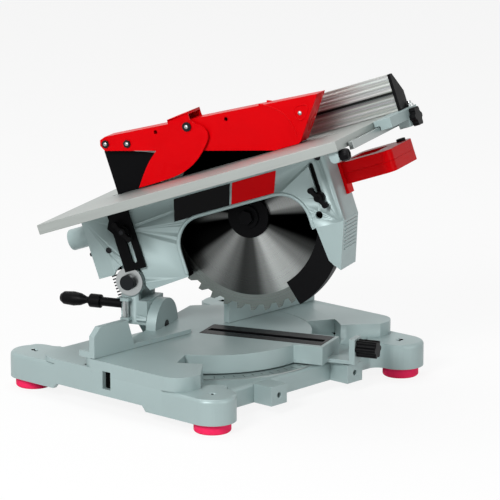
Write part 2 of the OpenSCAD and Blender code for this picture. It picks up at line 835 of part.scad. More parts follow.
module ear_outline() {
    translate([pivot_y, pivot_z]) circle(r = ear_r);
    polygon([[pivot_y - neck_front, web_low], [pivot_y + neck_rear, web_low], [pivot_y + neck_rear, pivot_z],
             [pivot_y - neck_front, pivot_z]]);
}
module bevel_bracket() color("dimgray") difference() {
    union() {
        on_turntable() {
            translate([0, 0, work_z]) along(bracket_y, bracket_rear) intersection() {
                circle(r = flange_r);
                translate([-flange_r, flange_low]) square(2 * flange_r);
                polygon([[2 * flange_r, flange_skew - 2 * flange_r],
                         [-2 * flange_r, flange_skew + 2 * flange_r], [2 * flange_r, 2 * flange_r]]);
            }
            box([ear_left, bracket_y, web_low], [ear_right, bracket_rear, web_top]);
            box([ear_left, bracket_rear - joined, web_low],
                [ear_right, pivot_y + neck_rear, web_low + floor_plate_t]);
            side(ear_left, ear_left + ear_t) ear_outline();
            side(ear_right - ear_t, ear_right) ear_outline();
            // Lugs of the stop post
            for (z = [post_low, post_low + post_lug + post_len])
                box([ear_left - post_lug_out, post_y - post_lug_half, z],
                    [ear_left + joined, post_y + post_lug_half, z + post_lug]);
            // Gusset under the spring's seat
            box([spring_x - seat_half, pivot_y + neck_rear - joined, web_low],
                [spring_x + seat_half, pivot_y + spring_u - seat_t, web_low + gusset_h]);
        }
        on_head() box([spring_x - seat_half, spring_u - seat_half - spring_wire, spring_foot - slip - seat_t],
                      [spring_x + seat_half, spring_u + seat_half, spring_foot - slip]);
    }
    on_turntable() {
        rod_y(bracket_y - joined, bracket_rear + joined, bevel_pin_d / 2 + running, 0, work_z);
        rod_x(ear_left - joined, ear_right + joined, pivot_d / 2, pivot_y, pivot_z);
        rod_y(bracket_y - joined, bracket_rear + joined, lever_stem_d / 2 + running, lever_x, lever_z);
    }
}
module stop_post() color("silver") on_turntable()
    rod_z(post_low + post_lug, post_low + post_lug + post_len, post_d / 2,
          ear_left - post_d / 2 - joined, post_y);
module pivot_discs() color("silver") on_turntable() difference() {
    union() {
        rod_x(ear_left - disc_t, ear_left, ear_r, pivot_y, pivot_z);
        rod_x(ear_right, ear_right + disc_t, disc_right_r, pivot_y, pivot_z);
    }
    rod_x(ear_left - over, ear_right + over, pivot_d / 2, pivot_y, pivot_z);
}
module pivot_bolt() color("black") on_turntable() {
    rod_x(ear_left - disc_t - joined, ear_right + disc_t + bolt_head_t + bolt_past, pivot_d / 2,
          pivot_y, pivot_z);
    rod_x(ear_left - disc_t - bolt_head_t, ear_left - disc_t, bolt_head_r, pivot_y, pivot_z);
    translate([ear_right + disc_t, pivot_y, pivot_z]) rotate([0, 90, 0])
        cylinder(h = bolt_head_t, r = nut_r, $fn = 6);
}

// Points along the spring's wire and its tube
spring_steps = 8 * spring_turns;
spring_path = [for (k = [0:spring_steps])
    [spring_r * cos(45 * k), spring_r * sin(45 * k),
     spring_wire / 2 + k / spring_steps * (spring_len - spring_wire)]];
spring_gap = min([for (a = [0:spring_steps], b = [a + 5:1:spring_steps])
    norm(spring_path[a] - spring_path[b])]) - spring_wire;
echo(spring_least_gap = spring_gap);
module return_spring() {
    sides = 6;
    rings = len(spring_path);
    points = [for (k = [0:rings - 1], s = [0:sides - 1])
        let (out = [cos(45 * k), sin(45 * k), 0], a = 360 / sides * s)
        spring_path[k] + spring_wire / 2 * (cos(a) * out + sin(a) * [0, 0, 1])];
    walls = [for (k = [0:rings - 2], s = [0:sides - 1])
        let (a = k * sides + s, b = k * sides + (s + 1) % sides)
        each [[a, b, a + sides], [b, b + sides, a + sides]]];
    ends = [for (s = [1:sides - 2]) each [[0, s + 1, s],
        [(rings - 1) * sides, (rings - 1) * sides + s, (rings - 1) * sides + s + 1]]];
    color("black") on_head() translate([spring_x, spring_u, spring_foot])
        polyhedron(points = points, faces = [for (f = concat(walls, ends)) [f[2], f[1], f[0]]]);
}
module bevel_lever() color("black") on_turntable()
translate([lever_x, bracket_rear, lever_z]) rotate([-90, 0, 0]) {
    translate([0, 0, -flange_t + lever_stem_in]) cylinder(h = flange_t, d = lever_stem_d);
    rotate_extrude() polygon([[0, slip], [lever_profile[0][0], slip], each lever_profile, [0, lever_end]]);
}

// Head casing

module casing_outline() difference() {
    polygon([[casing_rear, casing_top], [casing_rear, casing_under], [lobe_slope - lobe_rear, casing_under],
             [-lobe_rear, -lobe_drop], [-lobe_front, -lobe_front_drop],
             [-window_rear - 2 * window_r, -lobe_front_drop],
             [shroud_deep - casing_front, shroud_top], [-casing_front, shroud_top],
             [-casing_front, casing_top]]);
    circle(r = pivot_cut);
}
module window(grow = 0) translate([window_mid_u, window_top + grow - (window_h + grow) / 2])
    round_rect(window_len + 2 * grow, window_h + grow, window_r + grow);
// Rear, front and lobe walls between two planes
module casing_rim(x0, x1) difference() {
    side(x0, x1) {
        translate([casing_rear - casing_wall, casing_under]) square([casing_wall, casing_top - casing_under]);
        translate([-casing_front, shroud_top]) square([casing_wall, casing_top - shroud_top]);
        polygon([[-lobe_rear, -lobe_drop], [-lobe_rear, casing_wall - lobe_drop],
                 [-lobe_front, casing_wall - lobe_front_drop], [-lobe_front, -lobe_front_drop]]);
        for (p = cover_screw_at) translate(p) circle(r = boss_r);
    }
    rod_y(casing_rear - over, casing_rear + joined, dust_d / 2 - dust_wall, dust_x, dust_v);
    rod_x(x0 - joined, x1 + joined, pivot_cut);
    at_blade() rod_x(-guard_half - joined, guard_half + joined, guard_out + slip);
}
module cover_screw_holes() for (p = cover_screw_at) {
    rod_x(-casing_left - over, inner_right, cover_screw_d / 2 + screw_fit, p[0], p[1]);
    rod_x(-casing_left - over, inner_left - casing_wall / 2, cover_head_d / 2 + screw_fit, p[0], p[1]);
}
module left_cover() color("lightslategray") on_head() difference() {
    union() {
        side(-casing_left, inner_left) difference() {
            casing_outline();
            window();
        }
        side(inner_left - joined, inner_left + lip_t) difference() {
            intersection() {
                casing_outline();
                window(lip_w);
            }
            window();
        }
        casing_rim(inner_left - joined, split_x);
    }
    cover_screw_holes();
    side(-casing_left - joined, inner_left + joined) {
        translate([-front_slot_u, front_stud_v])
            slot_2d(stud_d + 2 * slot_room, table_travel + 2 * slot_room);
        translate([key_hole[0] - casing_front, key_hole[1]]) circle(d = key_hole_d);
    }
    rod_x(-casing_left - joined, inner_left + joined, stud_d / 2 + running, -rear_slot_u, rear_stud_v);
}
module head_casting() color("lightslategray") on_head() difference() {
    union() {
        side(inner_right, casing_right) difference() {
            casing_outline();
            translate([window_mid_u, shroud_top - over / 2]) square([window_len, over], center = true);
        }
        casing_rim(split_x, inner_right + joined);
        // Hinge boss and its arm
        rod_x(ear_left + ear_t + slip, ear_right - ear_t - slip, hinge_boss_r);
        side(ear_left + ear_t + slip, ear_right - ear_t - slip)
            polygon([arm_heel, [-arm_rear, arm_low], [-arm_front, 0], [-arm_front, arm_top], [0, arm_top],
                     arm_back]);
        side(ear_right - ear_t - slip - joined, inner_right + joined)
            polygon([[-arm_rear, arm_low + 2], [-arm_front, 0], [-arm_front, arm_top], [-arm_rear, arm_top]]);
        // Spindle neck that carries the lower guard
        at_blade() rod_x(neck_x, inner_right + joined, neck_r);
        at_blade() rod_x(inner_right, casing_right + joined, neck_r + casing_wall);
    }
    cover_screw_holes();
    rod_x(ear_left - over, ear_right + over, pivot_d / 2 + running);
    at_blade() rod_x(neck_x - joined, bearing_x + 2 * bearing_t, bearing_r);
}
module front_shroud() color("lightslategray") on_head() difference() {
    union() {
        side(-casing_left, casing_right) polygon([
            [shroud_len - casing_front, shroud_top], [shroud_heel[0] - casing_front, -shroud_heel[1]],
            [shroud_toe[0] - casing_front, -shroud_toe[1]], [shroud_tip - casing_front, -shroud_drop],
            [-casing_front, shroud_top]]);
        for (k = [1:shroud_ribs])
            let (t = k * shroud_rib_step)
            rod_x(-casing_left + 2 * casing_wall, inner_right, shroud_rib_r,
                  shroud_tip * t - casing_front, shroud_top - t * (shroud_drop + shroud_top));
    }
    side(inner_left, inner_right) polygon([
        [-casing_front + casing_wall, shroud_top + joined], [-casing_front + casing_wall, shroud_top],
        [shroud_tip + casing_wall - casing_front, -shroud_drop],
        [shroud_tip + casing_wall - casing_front, -shroud_drop - over],
        [over - casing_front, -shroud_drop - over], [over - casing_front, shroud_top + joined]]);
}
module cover_screws() color("dimgray") on_head() {
    for (p = cover_screw_at) {
        rod_x(-casing_left + casing_wall / 2 - joined, inner_right - joined, cover_screw_d / 2, p[0], p[1]);
        rod_x(-casing_left + screw_sunk, -casing_left + casing_wall / 2, cover_head_d / 2, p[0], p[1]);
    }
    // Headed stud that the table's rear guide slides on
    rod_x(guide_x - stud_out, inner_left + joined, stud_d / 2, -rear_slot_u, rear_stud_v);
    rod_x(inner_left, inner_left + inner_guide_t, 0.75 * stud_d, -rear_slot_u, rear_stud_v);
    // Adjusting screw with its nut on the rear wall
    rod_y(casing_rear, casing_rear + rear_screw_len, rear_screw_d / 2, rear_screw_x, rear_screw_v);
    translate([rear_screw_x, casing_rear, rear_screw_v]) rotate([-90, 0, 0])
        cylinder(h = rear_nut_t, d = rear_nut_d, $fn = 6);
}
module dust_port() color("lightslategray") on_head() translate([dust_x, 0, dust_v]) difference() {
    union() {
        rod_y(casing_rear, casing_rear + dust_len, dust_d / 2);
        rod_y(casing_rear, casing_rear + dust_wall, dust_d / 2 + dust_flange);
    }
    rod_y(casing_rear - joined, casing_rear + dust_len + joined, dust_d / 2 - dust_wall);
}
module label_plate(u) on_head() side(-casing_left - label_t, -casing_left)
    polygon([[u[0], label_low], [u[1], label_low], [u[2], label_high], [u[3], label_high]]);
module label_black() color("black") label_plate(label_black_u);
module label_red() color("firebrick") label_plate(label_red_u);

// Belt drive and motor

// Straight slot outline round both pulleys, the driven one at the origin
module pulley_slot(r) rotate(belt_lean - 90) slot_2d(2 * r, norm(belt_way));
module belt_cover() color("black") on_head() at_blade() difference() {
    side(casing_right, motor_x) pulley_slot(cover_r);
    side(casing_right - joined, motor_x - cover_wall) pulley_slot(cover_r - cover_wall);
    translate([0, belt_way[0], belt_way[1]]) rod_x(casing_right, motor_x + joined, motor_bearing_r + joined);
}
module motor_housing() color("dimgray") on_head() at_motor() difference() {
    union() {
        rod_x(motor_x, motor_x + motor_len, motor_d / 2 - motor_rib_h);
        rod_x(motor_x, motor_x + motor_front_t, motor_d / 2);
        rod_x(motor_x + motor_len - motor_front_t, motor_x + motor_len, motor_d / 2);
        for (k = [1:motor_ribs]) rotate([k * 360 / motor_ribs, 0, 0])
            box([motor_x + joined, -motor_rib_h / 2, motor_d / 2 - motor_rib_h - joined],
                [motor_x + motor_len - joined, motor_rib_h / 2, motor_d / 2]);
    }
    rod_x(motor_x + motor_front_t, motor_x + motor_len + joined, motor_in_r);
    rod_x(motor_x - joined, motor_x + motor_front_t + joined, motor_bearing_r);
}
module motor_cap() color("black") on_head() at_motor() translate([motor_x + motor_len, 0, 0]) difference() {
    rotate([0, 90, 0]) rotate_extrude() polygon([[0, 0], [motor_d / 2, 0], [motor_d / 2, cap_len * 0.5],
                                                 [motor_d / 2 - cap_edge, cap_len], [0, cap_len]]);
    difference() {
        rod_x(-joined, cap_len - motor_wall, motor_d / 2 - cap_edge - motor_wall);
        rod_x(-over, cap_len, cap_bearing_r + motor_wall);
    }
    rod_x(-joined, cap_len - motor_wall, cap_bearing_r);
    for (k = [1:cap_slots]) rotate([k * 360 / cap_slots, 0, 0])
        box([cap_len / 2, -motor_rib_h, cap_bearing_r + 2 * motor_wall],
            [cap_len + joined, motor_rib_h, motor_d / 2 - 2 * cap_edge]);
}
module stator() color("gray") on_head() at_motor() difference() {
    rod_x(motor_x + stator_x[0], motor_x + stator_x[1], motor_in_r);
    rod_x(motor_x + stator_x[0] - joined, motor_x + stator_x[1] + joined, motor_d / 2 - stator_in);
}
module bearings() color("silver") on_head() {
    at_blade() for (x = [bearing_x, bearing_x + bearing_t]) difference() {
        rod_x(x, x + bearing_t, bearing_r);
        rod_x(x - joined, x + bearing_t + joined, spindle_d / 2 + running);
    }
    at_motor() difference() {
        rod_x(motor_x + joined, motor_x + motor_front_t, motor_bearing_r);
        rod_x(motor_x, motor_x + motor_front_t + joined, shaft_d / 2 + running);
    }
    at_motor() difference() {
        rod_x(cap_bearing_x, cap_bearing_x + cap_bearing_t, cap_bearing_r);
        rod_x(cap_bearing_x - joined, cap_bearing_x + cap_bearing_t + joined, shaft_d / 2 + running);
    }
}
// Closed outline round both pulleys, at a distance from their rims
function belt_outline(gap) = [
    for (k = [0:belt_steps])
        let (a = belt_lean + belt_open + k * (360 - 2 * belt_open) / belt_steps)
        (big_pulley_d / 2 + gap) * [cos(a), sin(a)],
    for (k = [0:belt_steps])
        let (a = belt_lean - belt_open + k * 2 * belt_open / belt_steps)
        belt_way + (small_pulley_d / 2 + gap) * [cos(a), sin(a)]
];
module belt() color("black") on_head() at_blade() side(belt_x, belt_x + belt_w) difference() {
    polygon(belt_outline(slip + belt_t));
    polygon(belt_outline(slip));
}
module rotor() color("peru") on_head() at_motor() {
    rod_x(belt_x - pulley_edge, cap_bearing_x + cap_bearing_t, shaft_d / 2);
    rod_x(belt_x - pulley_edge, belt_x + belt_w + pulley_edge, small_pulley_d / 2);
    rod_x(motor_x + armature_x[0], motor_x + armature_x[1], motor_d / 2 - stator_in - joined);
    rod_x(motor_x + commutator_x[0], motor_x + commutator_x[1], motor_d / 4);
    rod_x(motor_x + fan_x[0], motor_x + fan_x[1], motor_d / 2 - cap_edge);
}

// Handle

module handle_plan() translate([handle_left + handle_w / 2, -handle_back - handle_reach / 2]) difference() {
    round_rect(handle_w, handle_reach, handle_r);
    translate([0, (handle_bar - handle_root) / 2])
        round_rect(handle_w - 2 * handle_arm, handle_reach - handle_bar - handle_root, handle_in_r);
}
module handle_half(v0, v1, root_v0, root_v1) on_head() difference() {
    union() {
        translate([0, 0, v0]) linear_extrude(v1 - v0) handle_plan();
        box([handle_left + joined, -handle_back - handle_root / 2, root_v0],
            [casing_right, -handle_back, root_v1]);
    }
    // Room for the trigger and the lock-off button
    box([trigger_x - trigger_w / 2 - slip, handle_end + trigger_pocket, handle_v - trigger_h / 2 - slip],
        [trigger_x + trigger_w / 2 + slip, handle_end + handle_bar + joined,
         handle_v + trigger_h / 2 + slip]);
    rod_z(handle_v + handle_h / 2 - button_pocket, handle_v + over, button_d / 2 + running,
          button_x, button_u);
}
module handle_upper() color("red")
    handle_half(handle_v, handle_v + handle_h / 2, handle_v, handle_v + handle_root_up);
module handle_lower() color("firebrick")
    handle_half(handle_v - handle_h / 2, handle_v, handle_v - handle_root_down, handle_v);
module trigger() color("black") on_head()
    box([trigger_x - trigger_w / 2, trigger_end - trigger_deep, handle_v - trigger_h / 2],
        [trigger_x + trigger_w / 2, trigger_end, handle_v + trigger_h / 2]);
module lock_button() color("black") on_head()
    translate([button_x, button_u, handle_v + handle_h / 2 - button_sunk])
        cylinder(h = button_h, d = button_d);
module cord_gland() color("black") on_head() difference() {
    union() {
        rod_y(-handle_back, gland_flange_t - handle_back, gland_flange_d / 2, button_x, handle_v);
        rod_y(-handle_back, gland_len - handle_back, gland_d / 2, button_x, handle_v);
    }
    rod_y(gland_flange_t - handle_back, gland_len + joined - handle_back, gland_bore_d / 2,
          button_x, handle_v);
}

// Blade and lower guard

module tooth_blade_2d() {
    step = 360 / blade_teeth;
    r = blade_d / 2;
    root = r - gullet;
    polygon([for (k = [0:blade_teeth - 1]) each [
        r * [cos(k * step), sin(k * step)],
        root * [cos((k + tooth_face) * step), sin((k + tooth_face) * step)],
        root * [cos((k + tooth_root) * step), sin((k + tooth_root) * step)],
        (r - tooth_fall) * [cos((k + tooth_back) * step), sin((k + tooth_back) * step)]
    ]]);
}
module blade() color("silver") on_head() at_blade() side(-blade_t / 2, blade_t / 2) difference() {
    tooth_blade_2d();
    circle(d = spindle_d);
}
module blade_flanges() color("dimgray") on_head() at_blade() difference() {
    union() {
        rod_x(-blade_t / 2 - clamp_t, -blade_t / 2, clamp_d / 2);
        rod_x(blade_t / 2, blade_t / 2 + clamp_t, clamp_d / 2);
    }
    rod_x(-over, over, spindle_d / 2);
}
module spindle() color("gray") on_head() at_blade() difference() {
    rod_x(-blade_t / 2 - clamp_t, belt_x + belt_w + 2 * pulley_edge, spindle_d / 2);
    rod_x(-over, bearing_x, spindle_d / 4);
}
module arbor_bolt() color("black") on_head() at_blade() {
    rod_x(-blade_t / 2 - clamp_t - joined, bearing_x - joined, spindle_d / 4);
    rod_x(-blade_t / 2 - clamp_t - arbor_washer_t, -blade_t / 2 - clamp_t, spindle_d * 0.75);
    translate([-blade_t / 2 - clamp_t - arbor_washer_t - arbor_head_t + joined, 0, 0]) rotate([0, 90, 0])
        cylinder(h = arbor_head_t, d = spindle_d, $fn = 6);
}
module driven_pulley() color("gray") on_head() at_blade() difference() {
    rod_x(belt_x - pulley_edge, belt_x + belt_w + pulley_edge, big_pulley_d / 2);
    rod_x(0, over, spindle_d / 2);
}
module lower_guard() color("black") on_head() at_blade() {
    side(-guard_half, guard_wall - guard_half) ring_sector(guard_in, guard_out, guard_from, guard_to);
    side(guard_half - guard_wall, guard_half) ring_sector(guard_in, guard_out, guard_from, guard_to);
    side(-guard_half, guard_half) ring_sector(guard_out - guard_rim_t, guard_out, guard_from, guard_to);
    // Arm behind the blade, on the spindle neck
    side(guard_half - guard_wall, guard_half)
        ring_sector(neck_r + guard_wall, guard_in + joined,
                    guard_from + guard_arm_in, guard_to - guard_arm_in);
    side(guard_half - guard_wall, guard_half + hub_ring_t - guard_wall) difference() {
        circle(r = neck_r + hub_ring_w);
        circle(r = neck_r + running);
    }
}

// Upper table

module upper_table() color("gainsboro") on_head() difference() {
    union() {
        box([-table_left, -table_front, table_under], [table_right, table_rear, table_top]);
        // Lugs that hold the front rail
        for (x = [rail_lug_in[0] - rail_left, rail_right - rail_lug_in[1]])
            box([x, -rail_u + rail_t / 2, table_under],
                [x + rail_lug_w, joined - table_front, table_under + rail_h / 2]);
    }
    box([-insert_half, -insert_front, table_top - table_insert_t],
        [insert_half, insert_back, table_top + joined]);
    box([-slot_w, slot_front - insert_front, table_under - joined],
        [slot_w, insert_back - slot_back, table_top]);
}
// Wear strip on each side of the blade slot
module table_insert() color("dimgray") on_head() for (s = [0, 1]) mirror([s, 0, 0])
    box([slot_w / 2, -insert_front + screw_fit, table_top - table_insert_t],
        [insert_half - screw_fit, insert_back - screw_fit, table_top]);
module rear_guide() color("black") on_head() side(guide_x, guide_x + guide_t) difference() {
    polygon([[guide_front, table_under], [guide_front, casing_under], [guide_rear, casing_under],
             [guide_rear, guide_bulge_v[0]], [guide_rear + guide_bulge, guide_bulge_v[1]],
             [guide_rear, guide_bulge_v[2]], [guide_rear, table_under]]);
    translate([-rear_slot_u, rear_stud_v - table_travel - slot_room])
        slot_2d(stud_d + 2 * slot_room, table_travel + 2 * slot_room);
}
module front_guide() color("gray") on_head() {
    side(inner_guide_x, inner_guide_x + inner_guide_t)
        translate([-front_slot_u - front_guide_in, front_stud_v - front_guide_low])
            square([front_guide_w, table_under - front_stud_v + front_guide_low]);
    rod_x(-casing_left - stud_out, inner_guide_x + joined, stud_d / 2, -front_slot_u, front_stud_v);
}
module wing_grip(x0) {
    rod_x(x0 - grip_hub_t, x0, grip_hub_d / 2);
    side(x0 - grip_hub_t - grip_t, x0 - grip_hub_t) rotate(grip_turn) wings(grip_reach, grip_thick);
}
module front_wing() color("black") on_head() translate([0, -front_slot_u, front_stud_v]) difference() {
    wing_grip(-casing_left - slip);
    rod_x(-casing_left - over, 0, stud_d / 2 + running);
}
module rear_wing() color("black") on_head() translate([0, -rear_slot_u, rear_stud_v]) difference() {
    wing_grip(guide_x - slip);
    rod_x(guide_x - over, 0, stud_d / 2 + running);
}
module front_rail() color("silver") on_head()
    box([-rail_left, -rail_u - rail_t / 2, table_under - rail_h / 2],
        [rail_right, -rail_u + rail_t / 2, table_under + rail_h / 2]);

// Crown guard

module riving_knife() color("black") on_head() side(-knife_t / 2, knife_t / 2) difference() {
    union() {
        translate(crown_pivot) circle(d = 2 * crown_bolt_d);
        polygon([each knife_rear, crown_pivot + [crown_bolt_d, 0], crown_pivot - [crown_bolt_d, 0],
                 each knife_front]);
    }
    translate([-blade_u, blade_v]) circle(r = blade_d / 2 + knife_room);
    translate(crown_pivot) circle(d = crown_bolt_d + 2 * running);
}
module knife_clamp() color("gray") on_head() {
    side(knife_t / 2, inner_right) translate(clamp_block[0]) square(clamp_block[1] - clamp_block[0]);
    for (u = clamp_screw_u)
        rod_x(-knife_t / 2 - clamp_screw_t, -knife_t / 2, clamp_screw_d / 2,
              u, (clamp_block[0][1] + clamp_block[1][1]) / 2);
}
module crown_guard() color("red") on_head() difference() {
    side(-crown_w / 2, crown_w / 2) polygon(concat(crown_end, crown_ridge, crown_low_edge));
    // Channel open at the bottom and the rear
    side(crown_t - crown_w / 2, crown_w / 2 - crown_t) translate([0, -crown_t]) polygon([
        [over, crown_ridge[0][1]], crown_ridge[0], crown_ridge[1], each crown_inside,
        [crown_inside[1][0], table_under - over], [over, table_under - over]]);
    for (p = [crown_pivot, crown_spacer]) rod_x(-over, over, crown_bolt_d / 2, p[0], p[1]);
    for (p = crown_holes) rod_x(-over, over, crown_hole_d / 2, p[0], p[1]);
    rod_x(-over, over, crown_bolt_d / 2 + running, flap_pivot[0], flap_pivot[1]);
}
module crown_bolts() color("dimgray") on_head() for (p = [crown_pivot, crown_spacer]) {
    rod_x(-crown_w / 2 - joined, crown_w / 2 + joined, crown_bolt_d / 2, p[0], p[1]);
    for (s = [-1, 1])
        translate([s * (crown_w / 2 + crown_nut_t / 2), p[0], p[1]]) rotate([0, 90, 0])
            cylinder(h = crown_nut_t, d = crown_nut_d, center = true, $fn = 6);
}
module guard_flap() color("red") on_head() difference() {
    side(-flap_w / 2, flap_w / 2) polygon(concat(flap_tab, flap_front, flap_rear));
    side(flap_wall - flap_w / 2, flap_w / 2 - flap_wall) polygon(concat(flap_bridge, flap_inside));
    rod_x(-over, over, crown_bolt_d / 2, flap_pivot[0], flap_pivot[1]);
}
module flap_bolt() color("dimgray") on_head() translate([0, flap_pivot[0], flap_pivot[1]]) {
    rod_x(-flap_w / 2 - joined, flap_w / 2 + joined, crown_bolt_d / 2);
    for (s = [-1, 1]) translate([s * (flap_w + flap_head_t) / 2, 0, 0]) rotate([0, 90, 0])
        cylinder(h = flap_head_t, r = crown_bolt_d, center = true);
}

// Rip fence

module rip_outline() translate([rip_x, rip_low])
    polygon([[0, 0], [rip_w, 0], [rip_w, rip_heel], [rip_top_w, rip_h], [0, rip_h]]);
// Outline drawn in by the wall on every side
module rip_hollow() translate([rip_x, rip_low]) polygon([
    [rip_wall, rip_wall], [rip_w - rip_wall, rip_wall],
    [rip_w - rip_wall, rip_heel - rip_wall * (rip_slope - rip_rise) / rip_run],
    [rip_top_w - rip_wall * (rip_slope - rip_run) / rip_rise, rip_h - rip_wall],
    [rip_wall, rip_h - rip_wall]
]);
module rip_section() difference() {
    rip_outline();
    rip_hollow();
    for (k = [0:rip_ribs - 1], half = [0, 1])
        translate([rip_x - joined,
                   rip_low + (half + 1) * rip_rib_from + half * rip_h / 2 + k * rip_rib_pitch])
            square([joined + rib_depth, rip_rib_pitch / 2]);
    translate([rip_x - joined, rip_low + (rip_h - rip_groove_w) / 2])
        square([joined + rip_groove_deep, rip_groove_w]);
}
module rip_fence() color("silver") on_head() along(-rip_front, -rip_rear) rip_section();
module rip_cap() color("dimgray") on_head() along(-rip_front - rip_cap_t, -rip_front) rip_outline();
// Block ahead of the rail, with a hook over it
module rip_carrier() color("gray") on_head() difference() {
    union() {
        box([rip_x - carrier_reach, -carrier_u - carrier_t, table_under],
            [rip_x + joined, -carrier_u, rip_low]);
        box([rip_x, -carrier_u - carrier_t, table_under - rail_h],
            [rip_x + rip_w + carrier_side, -carrier_u, rip_low]);
        box([rip_x - carrier_reach, -carrier_u - joined, table_under + rail_h / 2 + slip],
            [rip_x + rip_w + carrier_side, -table_front - slip, rip_low]);
    }
    rod_y(-carrier_u - over, joined - carrier_u, rip_stem_d / 2 + running, rip_x + rip_w / 2, table_under);
}
module rip_knob() color("black") on_head() translate([rip_x + rip_w / 2, 0, table_under]) {
    rod_y(-carrier_u - carrier_t - joined - slip, -carrier_u, rip_stem_d / 2);
    along(-carrier_u - carrier_t - slip - rip_knob_t, -carrier_u - carrier_t - slip) star(rip_knob_d);
}

base_casting();
work_wings();
stop_blocks();
rubber_feet();
mitre_scale();
fence_left();
fence_right();
fence_screws();
turntable();
kerf_insert();
turntable_pins();
mitre_knob();
bevel_bracket();
stop_post();
pivot_discs();
pivot_bolt();
return_spring();
bevel_lever();
left_cover();
head_casting();
front_shroud();
cover_screws();
dust_port();
label_black();
label_red();
belt_cover();
motor_housing();
motor_cap();
stator();
handle_upper();
handle_lower();
cord_gland();
riving_knife();
knife_clamp();
bearings();
belt();
blade();
blade_flanges();
spindle();
arbor_bolt();
driven_pulley();
rotor();
lower_guard();
trigger();
lock_button();
upper_table();
table_insert();
rear_guide();
front_guide();
front_rail();
front_wing();
rear_wing();
crown_guard();
crown_bolts();
guard_flap();
flap_bolt();
rip_fence();
rip_cap();
rip_carrier();
rip_knob();
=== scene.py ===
import json
import math

import bmesh
import bpy
from mathutils import Matrix, Vector


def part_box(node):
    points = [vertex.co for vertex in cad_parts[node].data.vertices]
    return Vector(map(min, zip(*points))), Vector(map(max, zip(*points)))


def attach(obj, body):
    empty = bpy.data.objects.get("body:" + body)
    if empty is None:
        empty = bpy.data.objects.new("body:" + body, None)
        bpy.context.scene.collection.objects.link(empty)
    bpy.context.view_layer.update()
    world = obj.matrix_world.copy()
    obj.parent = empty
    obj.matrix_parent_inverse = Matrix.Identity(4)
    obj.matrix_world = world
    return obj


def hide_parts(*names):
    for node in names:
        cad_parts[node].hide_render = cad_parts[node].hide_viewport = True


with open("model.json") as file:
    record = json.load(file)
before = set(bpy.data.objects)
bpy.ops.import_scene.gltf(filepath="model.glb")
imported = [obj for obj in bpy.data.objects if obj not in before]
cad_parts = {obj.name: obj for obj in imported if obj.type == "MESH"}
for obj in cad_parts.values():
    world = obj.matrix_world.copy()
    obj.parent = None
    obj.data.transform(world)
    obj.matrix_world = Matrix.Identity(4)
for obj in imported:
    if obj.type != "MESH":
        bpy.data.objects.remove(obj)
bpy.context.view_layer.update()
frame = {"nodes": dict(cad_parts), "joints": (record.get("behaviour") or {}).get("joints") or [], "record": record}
NODES = frame["nodes"]
BODY_OF = {node: body for body, nodes in frame["record"]["behaviour"]["bodies"].items() for node in nodes}
JOINT = {joint["name"]: joint for joint in frame["joints"]}
MM = 0.001


# Frames of the turntable, the head and the blade, read from the joints
def axes_at(origin, x, y, z):
    matrix = Matrix((x, y, z)).transposed().to_4x4()
    matrix.translation = origin
    return matrix


UP = Vector((0, 0, 1))
ACROSS = Vector(JOINT["chop"]["axis"])
HEAD_V = Vector(JOINT["table_rise"]["axis"])
HEAD_U = HEAD_V.cross(ACROSS)
TURN = axes_at(Vector(JOINT["mitre_turn"]["pos_m"]) * Vector((1, 1, 0)), ACROSS, UP.cross(ACROSS), UP)
HEAD = axes_at(Vector(JOINT["chop"]["pos_m"]), ACROSS, HEAD_U, HEAD_V)
BLADE = axes_at(Vector(JOINT["blade_spin"]["pos_m"]), ACROSS, HEAD_U, HEAD_V)


# Sockets of a colour mix, by number
MIX_PART = 0
MIX_FIRST = 6
MIX_SECOND = 7
MIX_OUT = 2
# Settings that the procedural materials share
CLOUD_DETAIL = 4.0
NOISE_LOW = 0.3
NOISE_HIGH = 0.7
GRAIN_STRENGTH = 0.6
AS_IT_IS = (1, 1, 1)
ALONG_SAW = (900, 12, 900)


# Node helpers for procedural materials
def add(tree, kind, inputs=None, **settings):
    made = tree.nodes.new("ShaderNode" + kind)
    for name, value in settings.items():
        setattr(made, name, value)
    for socket, value in (inputs or {}).items():
        if isinstance(value, bpy.types.NodeSocket):
            tree.links.new(value, made.inputs[socket])
        else:
            made.inputs[socket].default_value = value
    return made


def new_material(name, color, roughness, metallic=0.0, **sockets):
    material = bpy.data.materials.new(name)
    material.use_nodes = True
    shader = material.node_tree.nodes["Principled BSDF"]
    shader.inputs["Base Color"].default_value = (*color, 1)
    shader.inputs["Roughness"].default_value = roughness
    shader.inputs["Metallic"].default_value = metallic
    for socket, value in sockets.items():
        shader.inputs[socket.replace("_", " ")].default_value = value
    return material, material.node_tree, shader


def place_in(tree, place, scale):
    """Object coordinates turned into a frame of the saw and stretched."""
    where = add(tree, "TexCoord").outputs["Object"]
    back = place.inverted()
    moved = add(tree, "Mapping", {"Vector": where, "Location": back.translation, "Rotation": back.to_euler()})
    return add(tree, "Mapping", {"Vector": moved.outputs["Vector"], "Scale": scale}).outputs["Vector"]


def mottle(tree, shader, color, where, scale, depth):
    """Lets the base colour wander a little between two shades."""
    noise = add(tree, "TexNoise", {"Vector": where, "Scale": scale, "Detail": CLOUD_DETAIL})
    shades = [tuple(min(1.0, c * k) for c in color) for k in (1 - depth, 1 + depth)]
    mix = add(tree, "Mix", {MIX_PART: noise.outputs["Fac"]}, data_type="RGBA")
    mix.inputs[MIX_FIRST].default_value = (*shades[0], 1)
    mix.inputs[MIX_SECOND].default_value = (*shades[1], 1)
    tree.links.new(mix.outputs[MIX_OUT], shader.inputs["Base Color"])
    return noise


def vary_roughness(tree, shader, noise, low, high):
    ranged = add(tree, "MapRange", {"Value": noise.outputs["Fac"], "From Min": NOISE_LOW,
                                    "From Max": NOISE_HIGH, "To Min": low, "To Max": high})
    tree.links.new(ranged.outputs["Result"], shader.inputs["Roughness"])


